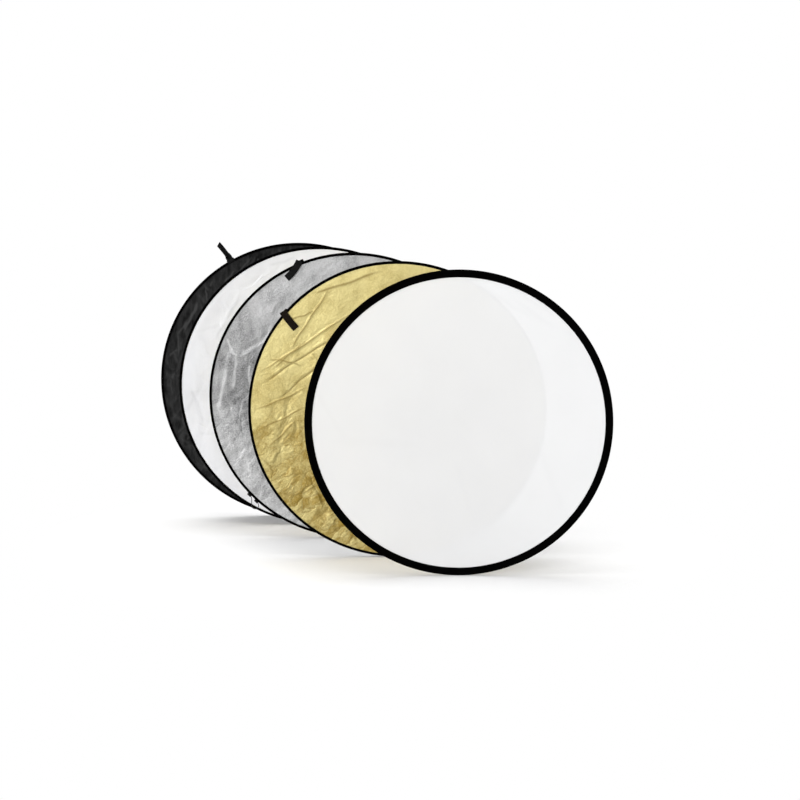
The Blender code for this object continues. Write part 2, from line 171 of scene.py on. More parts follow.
def both_sides(half):
    """A line of (radius, height) points and its mirror image, joined in the middle."""
    back = [(r, -z) for r, z in reversed(half)]
    return [*half, *(back[1:] if half[-1][1] == 0 else back)]


SHARP_ANGLE = 50  # degrees


class Shape:
    """One mesh in the making: its points, faces, texture places and finishes."""

    def __init__(self):
        self.points = []
        self.faces = []
        self.places = []
        self.finishes = []
        self.count = 0

    def add(self, points, faces, places=None, finish=0):
        points = np.asarray(points, dtype=float).reshape(-1, 3)
        groups = [faces] if isinstance(faces, np.ndarray) else [np.array([f]) for f in faces]
        for group in groups:
            self.faces.extend((group + self.count).tolist())
            spots = points[group][..., ::2] if places is None else places
            self.places.append(np.asarray(spots, dtype=float).reshape(-1, 2))
            self.finishes.extend([finish] * len(group))
        self.points.append(points)
        self.count += len(points)

    def add_grid(self, points, along, across, loop_along, loop_across, finish=0):
        """Quads over a grid of points. A looped side has one place more than it has points."""
        rows, columns = points.shape[:2]
        i, j = np.meshgrid(
            np.arange(rows if loop_along else rows - 1),
            np.arange(columns if loop_across else columns - 1),
            indexing="ij",
        )
        i, j = i.ravel(), j.ravel()
        i2, j2 = (i + 1) % rows, (j + 1) % columns
        corners = ((i, j), (i2, j), (i2, j2), (i, j2))
        faces = np.stack([a * columns + b for a, b in corners], axis=-1)
        spots = ((i, j), (i + 1, j), (i + 1, j + 1), (i, j + 1))
        places = np.stack([np.stack([along[a], across[b]], -1) for a, b in spots], axis=1)
        self.add(points, faces, places, finish)

    def add_sweep(self, points, along, across, finish=0):
        """A closed section carried along an open line, with both ends filled."""
        self.add_grid(points, along, across, False, True, finish)
        for end in (points[0][::-1], points[-1]):
            self.add(end, np.arange(len(end))[None], None, finish)

    def build(self, name, finishes, closed=True):
        mesh = bpy.data.meshes.new(name)
        mesh.from_pydata(np.vstack(self.points).tolist(), [], self.faces)
        weave = mesh.uv_layers.new(name="weave")
        weave.data.foreach_set("uv", np.vstack(self.places).ravel())
        mesh.polygons.foreach_set("material_index", self.finishes)
        for finish in finishes:
            mesh.materials.append(finish)
        if closed:
            work = bmesh.new()
            work.from_mesh(mesh)
            bmesh.ops.recalc_face_normals(work, faces=work.faces)
            work.to_mesh(mesh)
            work.free()
        mesh.polygons.foreach_set("use_smooth", [True] * len(mesh.polygons))
        if closed:
            mesh.set_sharp_from_angle(angle=math.radians(SHARP_ANGLE))
        return put_in_scene(name, mesh)


def dress(piece, node, body):
    """The piece stands for a CAD node, whose solid it hides, and moves with its body."""
    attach(piece, body)
    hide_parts(node)


# Camera, light and floor


def add_camera():
    data = bpy.data.cameras.new("camera")
    data.sensor_width = SENSOR
    data.sensor_fit = "HORIZONTAL"
    data.lens = CAMERA_LENS
    data.clip_end = CAMERA_SEES
    made = put_in_scene("camera", data)
    made.location = CAMERA_PLACE
    made.rotation_euler = (math.radians(90 - CAMERA_PITCH), 0, 0)
    bpy.context.scene.camera = made


def add_sun(name, source, level, softness):
    """Even light from the direction of a point; at level 1 it shows a colour as it is."""
    data = bpy.data.lights.new(name, "SUN")
    data.energy = level * math.pi
    data.angle = math.radians(softness)
    made = put_in_scene(name, data)
    x, y, z = source
    made.location = source
    made.rotation_euler = (math.atan2(math.hypot(x, y), z), 0, math.atan2(x, -y))


def seen_directly(nodes, links):
    """1 for rays that come from the camera or by way of gloss or clear material, else 0."""
    path = nodes.new("ShaderNodeLightPath")
    total = path.outputs["Is Camera Ray"]
    for other in ("Is Glossy Ray", "Is Transmission Ray"):
        most = nodes.new("ShaderNodeMath")
        most.operation = "MAXIMUM"
        links.new(total, most.inputs[0])
        links.new(path.outputs[other], most.inputs[1])
        total = most.outputs[0]
    return total


def mixed(nodes, links, share, first, second):
    """A shader that goes from the first to the second as share goes from 0 to 1."""
    mix = nodes.new("ShaderNodeMixShader")
    if isinstance(share, bpy.types.NodeSocket):
        links.new(share, mix.inputs["Fac"])
    else:
        mix.inputs["Fac"].default_value = share
    links.new(first, mix.inputs[1])
    links.new(second, mix.inputs[2])
    return mix.outputs[0]


WORLD_LIGHT = 0.22
# Where each lamp's light comes from, its level and its softness in degrees
LAMPS = {
    "key": ((-0.62, -0.77, 0.14), 0.85, 25),
    "fill": ((0.50, -0.85, 0.10), 0.10, 60),
    "top": ((-0.24, 0.16, 0.955), 0.90, 60),
}


def add_world():
    world = bpy.data.worlds.new("studio")
    bpy.context.scene.world = world
    world.use_nodes = True
    nodes, links = world.node_tree.nodes, world.node_tree.links
    light = nodes["Background"]
    light.inputs["Color"].default_value = (1, 1, 1, 1)
    light.inputs["Strength"].default_value = WORLD_LIGHT
    white = nodes.new("ShaderNodeBackground")
    white.inputs["Color"].default_value = (1, 1, 1, 1)
    white.inputs["Strength"].default_value = 1
    direct = seen_directly(nodes, links)
    surface = mixed(nodes, links, direct, light.outputs[0], white.outputs[0])
    links.new(surface, nodes["World Output"].inputs["Surface"])


FLOOR_COLOUR = 0.90  # as the camera sees it
FLOOR_BOUNCE = 0.42  # what it throws back on the object
FLOOR_LIFT = 0.01  # added for the camera, so that the floor is white where nothing shades it
FLOOR_SIDE = 80
SHADOW_REACH = (0.5, 0.95)  # the floor goes from shaded to plain white between these radii


def add_floor():
    mesh = bpy.data.meshes.new("floor")
    h = FLOOR_SIDE / 2
    mesh.from_pydata([(-h, -h, 0), (h, -h, 0), (h, h, 0), (-h, h, 0)], [], [(0, 1, 2, 3)])
    finish = Finish("floor_white", (FLOOR_COLOUR,) * 3, 1.0, specular=0.0)
    nodes, links = finish.nodes, finish.links
    direct = seen_directly(nodes, links)
    finish.colour(finish.blend(direct, (FLOOR_BOUNCE,) * 3, (FLOOR_COLOUR,) * 3))
    far = nodes.new("ShaderNodeVectorMath")
    far.operation = "LENGTH"
    links.new(finish.place(), far.inputs[0])
    beyond = finish.spread(far.outputs["Value"], *SHADOW_REACH)
    finish.shader.inputs["Emission Color"].default_value = (1, 1, 1, 1)
    lift = finish.times(direct, FLOOR_LIFT)
    links.new(lift, finish.shader.inputs["Emission Strength"])
    white = nodes.new("ShaderNodeEmission")
    white.inputs["Strength"].default_value = 1
    share = finish.times(beyond, direct)
    surface = mixed(nodes, links, share, finish.shader.outputs[0], white.outputs[0])
    links.new(surface, nodes["Material Output"].inputs["Surface"])
    mesh.materials.append(finish.made)
    made = put_in_scene("floor", mesh)


# Materials


class Finish:
    """A material with short calls for its nodes."""

    def __init__(self, name, colour, roughness, metallic=0.0, specular=0.5):
        self.made = bpy.data.materials.new(name)
        self.made.use_nodes = True
        self.made.diffuse_color = (*colour, 1)
        tree = self.made.node_tree
        self.nodes, self.links = tree.nodes, tree.links
        self.shader = self.nodes["Principled BSDF"]
        self.shader.inputs["Base Color"].default_value = (*colour, 1)
        self.shader.inputs["Roughness"].default_value = roughness
        self.shader.inputs["Metallic"].default_value = metallic
        self.shader.inputs["Specular IOR Level"].default_value = specular

    def put(self, socket, value):
        """A number, colour or another node's output into an input."""
        if isinstance(value, bpy.types.NodeSocket):
            self.links.new(value, socket)
        else:
            socket.default_value = value

    def math(self, operation, a, b=0.0, clamp=False):
        node = self.nodes.new("ShaderNodeMath")
        node.operation = operation
        node.use_clamp = clamp
        self.put(node.inputs[0], a)
        self.put(node.inputs[1], b)
        return node.outputs[0]

    def times(self, a, b):
        return self.math("MULTIPLY", a, b)

    def plus(self, a, b, clamp=False):
        return self.math("ADD", a, b, clamp)

    def minus(self, a, b):
        return self.math("SUBTRACT", a, b)

    def most(self, a, b):
        return self.math("MAXIMUM", a, b)

    def place(self):
        return self.nodes.new("ShaderNodeTexCoord").outputs["Object"]

    def attribute(self, name):
        node = self.nodes.new("ShaderNodeAttribute")
        node.attribute_name = name
        return node.outputs["Fac"]

    def weave_place(self):
        """Distance along and across the cloth, in metres."""
        node = self.nodes.new("ShaderNodeUVMap")
        node.uv_map = "weave"
        split = self.nodes.new("ShaderNodeSeparateXYZ")
        self.links.new(node.outputs["UV"], split.inputs[0])
        return split.outputs["X"], split.outputs["Y"]

    def slanted(self, stretch, slant):
        """Places on the piece, stretched along a slant in the disc's plane."""
        node = self.nodes.new("ShaderNodeMapping")
        node.vector_type = "TEXTURE"
        node.inputs["Rotation"].default_value = (0, math.radians(-slant), 0)
        node.inputs["Scale"].default_value = [1 / s for s in stretch]
        self.links.new(self.place(), node.inputs["Vector"])
        return node.outputs[0]

    def noise(self, size, detail=3.0, roughness=0.5, stretch=(1, 1, 1), slant=0):
        """Noise from 0 to 1 with features about size metres across."""
        node = self.nodes.new("ShaderNodeTexNoise")
        node.inputs["Scale"].default_value = 1 / size
        node.inputs["Detail"].default_value = detail
        node.inputs["Roughness"].default_value = roughness
        self.links.new(self.slanted(stretch, slant), node.inputs["Vector"])
        return node.outputs["Fac"]

    def crumple(self, size, stretch, slant, warp):
        """Flat patches of cloth: a random level for each, and the distance to the patch's edge."""
        drift = self.nodes.new("ShaderNodeTexNoise")
        drift.inputs["Scale"].default_value = 1 / size
        self.links.new(self.place(), drift.inputs["Vector"])
        shift = self.nodes.new("ShaderNodeVectorMath")
        shift.operation = "MULTIPLY_ADD"
        self.links.new(drift.outputs["Color"], shift.inputs[0])
        shift.inputs[1].default_value = (warp, warp, warp)
        self.links.new(self.slanted(stretch, slant), shift.inputs[2])
        made = []
        for feature, output in (("F1", "Color"), ("DISTANCE_TO_EDGE", "Distance")):
            node = self.nodes.new("ShaderNodeTexVoronoi")
            node.feature = feature
            node.inputs["Scale"].default_value = 1 / size
            self.links.new(shift.outputs[0], node.inputs["Vector"])
            made.append(node.outputs[output])
        split = self.nodes.new("ShaderNodeSeparateColor")
        self.links.new(made[0], split.inputs[0])
        return split.outputs["Red"], made[1]

    def wave(self, distance, period):
        """A sine from 0 to 1 along a distance."""
        angle = self.times(distance, TURN / period)
        swing = self.math("SINE", angle)
        return self.plus(self.times(swing, 0.5), 0.5)

    def spread(self, value, low, high, to_low=0.0, to_high=1.0):
        node = self.nodes.new("ShaderNodeMapRange")
        node.clamp = True
        self.put(node.inputs["Value"], value)
        node.inputs["From Min"].default_value = low
        node.inputs["From Max"].default_value = high
        node.inputs["To Min"].default_value = to_low
        node.inputs["To Max"].default_value = to_high
        return node.outputs["Result"]

    def blend(self, share, a, b):
        """Colour a, going to colour b as share goes from 0 to 1."""
        node = self.nodes.new("ShaderNodeMix")
        node.data_type = "RGBA"
        self.put(node.inputs["Factor"], share)
        a_in, b_in = [s for s in node.inputs if s.type == "RGBA"]
        self.put(a_in, a if isinstance(a, bpy.types.NodeSocket) else (*a, 1))
        self.put(b_in, b if isinstance(b, bpy.types.NodeSocket) else (*b, 1))
        return [s for s in node.outputs if s.type == "RGBA"][0]

    def colour(self, value):
        self.links.new(value, self.shader.inputs["Base Color"])

    def rough(self, value):
        self.links.new(value, self.shader.inputs["Roughness"])

    def bump(self, height, distance, strength=1.0):
        node = self.nodes.new("ShaderNodeBump")
        node.inputs["Distance"].default_value = distance
        node.inputs["Strength"].default_value = strength
        self.links.new(height, node.inputs["Height"])
        self.links.new(node.outputs["Normal"], self.shader.inputs["Normal"])


def plain_weave(finish, period):
    """Height of a plain weave in the disc's plane."""
    split = finish.nodes.new("ShaderNodeSeparateXYZ")
    finish.links.new(finish.place(), split.inputs[0])
    warp = finish.wave(split.outputs["X"], period)
    weft = finish.wave(split.outputs["Z"], period)
    return finish.times(warp, weft)


TAPE_RIB = 1.1 * MM


def tape_finish(name, colour, worn):
    """Ribbed tape: ribs across its length, a little paler where it is worn."""
    finish = Finish(name, colour, 0.9, specular=0.0)
    along, across = finish.weave_place()
    ribs = finish.wave(along, TAPE_RIB)
    fine = finish.wave(across, TAPE_RIB / 2)
    height = finish.plus(ribs, finish.times(fine, 0.35))
    wear_and_painted_shading = finish.spread(finish.noise(0.05, 5, 0.7), 0.45, 0.75)
    share = finish.times(wear_and_painted_shading, finish.spread(ribs, 0, 1, 0.4, 1))
    finish.colour(finish.blend(share, colour, worn))
    finish.rough(finish.spread(wear_and_painted_shading, 0, 1, 0.92, 0.72))
    finish.bump(height, 0.12 * MM, 0.7)
    return finish.made


def thread_finish(name, colour):
    finish = Finish(name, colour, 0.6, specular=0.04)
    twist = finish.noise(0.6 * MM, 2)
    finish.colour(finish.blend(twist, colour, tuple(c * 2.2 for c in colour)))
    finish.bump(twist, 0.1 * MM, 0.5)
    return finish.made


def webbing_finish(name, colour, worn):
    """Herringbone webbing with fuzz worn pale along it."""
    finish = Finish(name, colour, 0.8, specular=0.08)
    along, across = finish.weave_place()
    zigzag = finish.math("PINGPONG", across, 1.6 * MM)
    slant = finish.plus(along, zigzag)
    ribs = finish.wave(slant, 1.3 * MM)
    fuzz = finish.spread(finish.noise(9 * MM, 5, 0.75), 0.42, 0.72)
    share = finish.times(ribs, fuzz)
    finish.colour(finish.blend(share, colour, worn))
    finish.rough(finish.spread(fuzz, 0, 1, 0.9, 0.68))
    finish.bump(ribs, 0.2 * MM, 0.8)
    return finish.made


# Crumpled patches in the foil: size, stretch, slant in degrees, and how far their edges wander
BROAD_PATCHES = (30 * MM, (0.38, 1, 1), 36, 22 * MM)
SMALL_PATCHES = (13 * MM, (0.45, 1, 1), 48, 10 * MM)
DASH_STRETCH = (0.4, 1, 1)
DASH_SLANT = 34


def foil_finish(name, light, dark, painted_crease_colour, roughness, metallic, grain, grit_share, blotch):
    """Metal-coated cloth: mottled, with painted shade and highlights along its creases and crumpled
    facets, and a fine weave below.
    """
    finish = Finish(name, light, roughness, metallic, specular=0.5)
    crease = finish.attribute("crease")
    tone = finish.attribute("tone")
    wear_and_painted_shading = finish.attribute("wear_and_painted_shading")
    mottle = finish.spread(finish.noise(22 * MM, 6, 0.7), 0.34, 0.66)
    grit = finish.noise(grain, 3, 0.75)
    shade = finish.times(finish.minus(mottle, 0.5), blotch)
    shade = finish.plus(shade, finish.times(tone, 0.75))
    rough_grit = finish.spread(grit, 0.3, 0.7, -grit_share, grit_share)
    # Painted light and shade of crumpled facets, more of it low down: a random level for each facet
    broad, broad_edge = finish.crumple(*BROAD_PATCHES)
    small, small_edge = finish.crumple(*SMALL_PATCHES)
    facet = finish.plus(finish.times(broad, 0.45), finish.times(small, 0.40))
    facet = finish.times(finish.minus(facet, 0.42), wear_and_painted_shading)
    shade = finish.plus(shade, facet)
    shade = finish.plus(shade, rough_grit, clamp=True)
    base = finish.blend(shade, light, dark)
    # Painted lines along the facets' edges, low down: shade on the gold, highlight on the silver
    broad_lines = finish.spread(broad_edge, 0, 0.09, 0.55, 0)
    small_lines = finish.spread(small_edge, 0, 0.10, 0.3, 0)
    lines = finish.times(finish.most(broad_lines, small_lines), wear_and_painted_shading)
    # Dashes of painted crinkle shading, more of them low down: shade on the gold, highlight on the
    # silver
    dashes = finish.noise(14 * MM, 3, 0.6, DASH_STRETCH, DASH_SLANT)
    dashes = finish.spread(dashes, 0.55, 0.68, 0, 0.8)
    painted_crinkle_dashes = finish.times(finish.times(dashes, wear_and_painted_shading), wear_and_painted_shading)
    # Creases, dashes and facet edges take the painted crease colour: painted shade on the gold,
    # painted highlight on the silver
    painted_marks = finish.most(crease, finish.most(painted_crinkle_dashes, lines))
    finish.colour(finish.blend(painted_marks, base, painted_crease_colour))
    rub = finish.plus(finish.times(mottle, 0.5), crease, clamp=True)
    finish.rough(finish.spread(rub, 0, 1, roughness - 0.06, roughness + 0.2))
    weave = plain_weave(finish, 0.9 * MM)
    crinkle = finish.noise(7 * MM, 4, 0.6)
    height = finish.plus(finish.times(weave, 0.06), crinkle)
    height = finish.plus(height, finish.times(grit, 0.5))
    height = finish.minus(height, finish.times(lines, 0.8))
    finish.bump(height, 1.4 * MM, 0.8)
    return finish.made


def cloth_finish(name, plain, folded, roughness, streak, specular, fold):
    """Woven cloth with soft tonal folds, and creases painted in the folded colour."""
    finish = Finish(name, plain, roughness, specular=specular)
    crease = finish.attribute("crease")
    tone = finish.attribute("tone")
    streaks = finish.spread(finish.noise(streak, 5, 0.65, (1, 1, 0.35)), 0.36, 0.66)
    shade = finish.plus(finish.times(streaks, 0.35), finish.times(tone, 0.3))
    # painted crease shading: painted shade on the white cloth, painted highlight on the black
    shade = finish.plus(shade, finish.times(crease, fold), clamp=True)
    finish.colour(finish.blend(shade, plain, folded))
    finish.rough(finish.spread(streaks, 0, 1, roughness - 0.08, roughness + 0.1))
    height = finish.plus(plain_weave(finish, 0.8 * MM), finish.times(streaks, 2.0))
    finish.bump(height, 0.25 * MM, 0.5)
    return finish.made


GLOW_SHARE = 0.03  # of the diffusion cloth's light that comes through it from behind
CLEAR_SHARE = 0.06  # of what stands behind the cloth that shows through it


def translucent_finish():
    """Thin diffusion cloth: light comes through it, and a little of what is behind it."""
    finish = Finish("diffusion_cloth", (0.86, 0.86, 0.86), 0.75, specular=0.2)
    tone = finish.attribute("tone")
    crease = finish.attribute("crease")
    soft = finish.spread(finish.noise(0.10, 4, 0.5), 0.35, 0.65)
    shade = finish.plus(finish.times(soft, 0.3), finish.times(tone, 0.4))
    # creases painted slightly darker: painted shade
    shade = finish.plus(shade, finish.times(crease, 0.6), clamp=True)
    white = finish.blend(shade, (0.885, 0.888, 0.893), (0.858, 0.861, 0.866))
    finish.colour(white)
    weave = plain_weave(finish, 0.7 * MM)
    finish.bump(weave, 0.15 * MM, 0.4)
    nodes, links = finish.nodes, finish.links
    glow = nodes.new("ShaderNodeBsdfTranslucent")
    links.new(white, glow.inputs["Color"])
    through = mixed(nodes, links, GLOW_SHARE, finish.shader.outputs[0], glow.outputs[0])
    clear = nodes.new("ShaderNodeBsdfTransparent")
    sheer = mixed(nodes, links, CLEAR_SHARE, through, clear.outputs[0])
    links.new(sheer, nodes["Material Output"].inputs["Surface"])
    return finish.made


def metal_finish(name, colour, dull, roughness, grain):
    """Metal with a fine grain and dull patches."""
    finish = Finish(name, colour, roughness, 1.0)
    fine = finish.noise(grain, 4, 0.7)
    patches = finish.spread(finish.noise(12 * MM, 4, 0.6), 0.4, 0.7)
    finish.colour(finish.blend(patches, colour, dull))
    finish.rough(finish.spread(fine, 0.2, 0.8, roughness - 0.1, roughness + 0.15))
    finish.bump(fine, 0.05 * MM, 0.4)
    return finish.made


def painted_finish(name, colour, bare):
    """Painted zip metal, rubbed towards bare metal in places."""
    finish = Finish(name, colour, 0.35, 0.85)
    wear_and_painted_shading = finish.spread(finish.noise(3 * MM, 5, 0.7), 0.58, 0.7)
    finish.colour(finish.blend(wear_and_painted_shading, colour, bare))
    finish.rough(finish.spread(finish.noise(1.2 * MM, 3), 0.3, 0.7, 0.28, 0.5))
    finish.bump(finish.noise(0.8 * MM, 3), 0.04 * MM, 0.5)
    return finish.made


def coil_finish(name, colour):
    finish = Finish(name, colour, 0.42, specular=0.35)
    fine = finish.noise(0.5 * MM, 3)
    finish.colour(finish.blend(fine, colour, tuple(c * 2 for c in colour)))
    finish.rough(finish.spread(fine, 0.2, 0.8, 0.35, 0.55))
    finish.bump(fine, 0.05 * MM, 0.4)
    return finish.made


def cord_finish(name, colour):
    finish = Finish(name, colour, 0.75, specular=0.1)
    along, across = finish.weave_place()
    strands = finish.wave(finish.plus(along, across), 0.8 * MM)
    fuzz = finish.noise(2 * MM, 4, 0.7)
    share = finish.times(strands, fuzz)
    finish.colour(finish.blend(share, colour, tuple(c * 2.5 for c in colour)))
    finish.bump(strands, 0.1 * MM, 0.6)
    return finish.made


# Cloth panels


def round_mesh(rings):
    """A unit disc in even triangles: its points and its faces, seen from +z."""
    points = [np.zeros((1, 2))]
    faces = []
    first = [0]
    for k in range(1, rings + 1):
        a = TURN * np.arange(6 * k) / (6 * k)
        first.append(first[-1] + (6 * (k - 1) if k > 1 else 1))
        points.append(np.stack([np.cos(a), np.sin(a)], -1) * k / rings)
        inner, outer = first[k - 1], first[k]
        inside, around = max(6 * (k - 1), 1), 6 * k
        for side in range(6):
            j = np.arange(k)
            low = inner + (side * (k - 1) + j) % inside
            out = outer + side * k + j
            out_next = outer + (side * k + j + 1) % around
            faces.append(np.stack([low, out, out_next], -1))
            low_next = inner + (side * (k - 1) + j + 1) % inside
            faces.append(np.stack([low, out_next, low_next], -1)[: k - 1])
    return np.vstack(points), np.vstack(faces)


def crease_line(p, start, end, width, wander, phase):
    """Distance of points from a crease, in its widths, and how it fades towards its ends."""
    start, end = np.asarray(start, dtype=float), np.asarray(end, dtype=float)
    run = end - start
    length = np.linalg.norm(run)
    run = run / length
    off = p - start
    t = off @ run
    d = off[:, 1] * run[0] - off[:, 0] * run[1]
    d = d + wander * np.sin(phase + 5 * t / length)
    d = d + wander * 0.4 * np.sin(phase * 2 + 17 * t / length)
    ends = ramp(0, 0.25 * length, t) * ramp(0, 0.25 * length, length - t)
    return d / width, ends


def fold_profile(d):
    """A soft ridge with a sharper side."""
    return np.exp(-(d**2)) - 0.35 * np.exp(-((d - 1.6) ** 2))


def mark_profile(d):
    """How strongly a crease's painted shading shows across its width."""
    return np.exp(-((1.5 * d) ** 2))


def facets(p, seeds, tilts, strength, soft):
    """Crumpled cloth: flat patches that meet in soft lines. Height, and nearness to a line."""
    height = np.empty(len(p))
    line = np.empty(len(p))
    for lo in range(0, len(p), FACET_BATCH):
        part = slice(lo, lo + FACET_BATCH)
        q = p[part]
        gaps = q[:, None] - seeds[None]
        far = np.sqrt((gaps**2).sum(-1))
        rows = np.arange(len(q))
        near = far.argmin(1)
        d1 = far[rows, near]
        far[rows, near] = np.inf
        other = far.argmin(1)
        d2 = far[rows, other]
        h1 = (tilts[near] * gaps[rows, near]).sum(-1)
        h2 = (tilts[other] * gaps[rows, other]).sum(-1)
        share = 0.5 + 0.5 * ramp(0, 1, (d2 - d1) / soft)
        height[part] = share * h1 + (1 - share) * h2
        plain = np.clip(1 - (d2 - d1) / soft, 0, 1)
        line[part] = plain * (strength[near] + strength[other]) / 2
    return height, line


def waves(p, rng, count, shortest, longest):
    """A gentle random swell, about 1 high."""
    total = np.zeros(len(p))
    for _ in range(count):
        a = rng.uniform(0, TURN)
        k = TURN / rng.uniform(shortest, longest)
        total += np.sin(k * (p[:, 0] * math.cos(a) + p[:, 1] * math.sin(a)) + rng.uniform(0, TURN))
    return total / math.sqrt(count)


# How each cloth is creased, in metres. lines: its plainest creases as (start, end, width,
# height); strays: random ones as (count, shortest, longest, width, height, heading, spread in
# degrees); patches: crumpled facets as (count, tilt, line width, stretch, heading); swell:
# (height, shortest, longest); smooth_top: what is left of strays and patches near the top;
# mark: how strongly creases are painted into the colour, as painted shade on the gold, white
# and diffusion cloth and as a painted highlight on the silver and black; darker: how much
# darker the tone is low down and at mid height; the last key: how strongly light and shade of
# crumpled facets are painted into the colour low down. PLAIN is for cloth without foil
PLAIN = {"mark": 1.0, "darker": (0.0, 0.0), "wear_and_painted_shading": 0.0}
CLOTHS = {
    "gold": {
        "lines": (
            ((-0.392, 0.088), (-0.110, 0.268), 0.0031, 0.0010),
            ((-0.380, 0.060), (-0.150, 0.206), 0.0034, -0.0010),
            ((-0.396, -0.008), (-0.225, 0.070), 0.0030, 0.0010),
            ((-0.290, 0.150), (-0.176, 0.342), 0.0030, 0.0008),
            ((-0.336, 0.016), (-0.165, 0.154), 0.0030, -0.0008),
            ((-0.384, -0.056), (-0.232, 0.014), 0.0032, 0.0009),
            ((-0.250, 0.306), (-0.030, 0.378), 0.0050, 0.0008),
            ((-0.352, 0.140), (-0.250, 0.120), 0.0028, 0.0006),
            ((-0.360, -0.110), (-0.262, -0.020), 0.0030, 0.0009),
            ((-0.345, 0.105), (-0.235, 0.190), 0.0030, 0.0007),
            ((-0.300, 0.240), (-0.215, 0.270), 0.0036, 0.0006),
        ),
        "strays": (
            (170, 0.03, 0.13, 0.0030, 0.0008, 35, 18),
            (80, 0.03, 0.09, 0.0028, 0.0008, 62, 20),
            (50, 0.03, 0.08, 0.0028, 0.0007, -35, 30),
        ),
        "patches": (420, 0.045, 0.007, 0.42, 38),
        "swell": (0.0011, 0.09, 0.28),
        "smooth_top": 0.18,
        "mark": 0.75,
        "darker": (0.75, 0.0),
        "wear_and_painted_shading": 1.0,
    },
    "silver": {
        "lines": (
            ((-0.338, 0.010), (-0.318, 0.120), 0.006, 0.0012),
            ((-0.320, 0.112), (-0.240, 0.152), 0.005, 0.0012),
            ((-0.318, 0.108), (-0.356, 0.166), 0.005, 0.0010),
            ((-0.376, -0.060), (-0.352, 0.100), 0.007, 0.0010),
            ((-0.252, 0.138), (-0.220, 0.208), 0.005, 0.0008),
        ),
        "strays": ((46, 0.04, 0.14, 0.0045, 0.0007, 60, 60),),
        "patches": (240, 0.04, 0.012, 0.5, 70),
        "swell": (0.0010, 0.07, 0.22),
        "smooth_top": 0.35,
        "mark": 0.5,
        "darker": (0.10, 0.50),
        "wear_and_painted_shading": 0.55,
    },
    "white": {
        **PLAIN,
        "lines": (
            ((-0.300, 0.120), (-0.215, 0.290), 0.007, 0.0007),
            ((-0.370, 0.010), (-0.330, -0.120), 0.008, -0.0006),
            ((-0.150, 0.345), (-0.060, 0.372), 0.007, 0.0006),
        ),
        "strays": ((40, 0.08, 0.26, 0.007, 0.0008, 55, 60),),
        "patches": (60, 0.012, 0.03, 0.6, 50),
        "swell": (0.0009, 0.10, 0.30),
        "smooth_top": 0.8,
    },
    "black": {
        **PLAIN,
        "lines": (((-0.330, 0.140), (-0.290, 0.235), 0.005, 0.0012),),
        "strays": ((260, 0.02, 0.10, 0.0036, 0.0010, 75, 35),),
        "patches": (300, 0.05, 0.012, 0.4, 75),
        "swell": (0.0012, 0.06, 0.20),
        "smooth_top": 0.7,
        "darker": (-0.1, 0.1),
    },
    "diffuser": {
        **PLAIN,
        "lines": (
            ((0.060, 0.352), (0.200, 0.270), 0.010, 0.0002),
            ((0.110, 0.345), (0.270, 0.235), 0.012, -0.0002),
        ),
        "strays": ((6, 0.10, 0.30, 0.016, 0.0001, -40, 40),),
        "patches": (12, 0.001, 0.06, 0.8, 0),
        "swell": (0.0004, 0.25, 0.60),
        "smooth_top": 1.0,
    },
}
PANEL_RINGS = 176
BACK_RINGS = 96
FINEST = 1.5  # the narrowest crease, in steps of the mesh
CREASE_FREE = 9 * MM  # the cloth lies flat this near its edge
CREASE_FULL = 45 * MM
MOST_PROUD = 1.1 * MM
MOST_SUNK = 2.6 * MM
EDGE_FADE = 20 * MM  # creases show less in the colour this near the edge
LINE_WANDER = 2.5 * MM
STRAY_WANDER = 1.3 * MM
PATCH_WARP = 12 * MM
PATCH_LAYERS = ((0.35, 0), (1.0, 65))  # share of the patches, and how far their stretch turns
PATCH_MARK = 0.6
FACET_BATCH = 4000  # points at a time
SMOOTH_BAND = (-0.12, 0.16)  # from rumpled to smooth, along a line that slopes up to the right
SMOOTH_SLOPE = 0.25
SMOOTH_SHIFT = 0.1
LOW_BAND = (0.30, -0.34)  # heights over which the tone changes towards the bottom
MID_HEIGHT = 0.03
MID_REACH = 0.15
# heights over which painted facet shading comes in towards the bottom
PAINTED_FACET_BAND = (0.20, -0.26)
PATCH_WAVES = (5, 0.05, 0.14)  # how many bend the patches, the shortest and the longest
SWELL_WAVES = 9
TONE_WAVES = 12
TONE_LEVEL = 0.42
TONE_SWING = 0.16
LOW_MEAN = 0.4  # taken off, so that a cloth keeps about its mean tone
MID_MEAN = 0.3


def crumpled(p, rng, look, radius):
    """Stretched facets at two sizes: their height, and the lines between them."""
    count, tilt, soft, stretch, heading = look["patches"]
    height = np.zeros(len(p))
    lines = np.zeros(len(p))
    for share, turn in PATCH_LAYERS:
        a = math.radians(heading + turn)
        along = np.array([math.cos(a), math.sin(a)]) * stretch
        across = np.array([-math.sin(a), math.cos(a)])
        warp = PATCH_WARP * np.stack([waves(p, rng, *PATCH_WAVES) for _ in range(2)], -1)
        q = (p + warp) @ np.stack([along, across], -1)
        many = max(4, round(count * share))
        seeds = rng.uniform(-radius, radius, (many, 2)) * [stretch, 1]
        tilts = rng.normal(0, tilt, (many, 2))
        strength = rng.uniform(0, 1, many) ** 2
        rise, line = facets(q, seeds, tilts, strength, soft)
        height += rise
        lines = np.maximum(lines, line)
    return height, lines


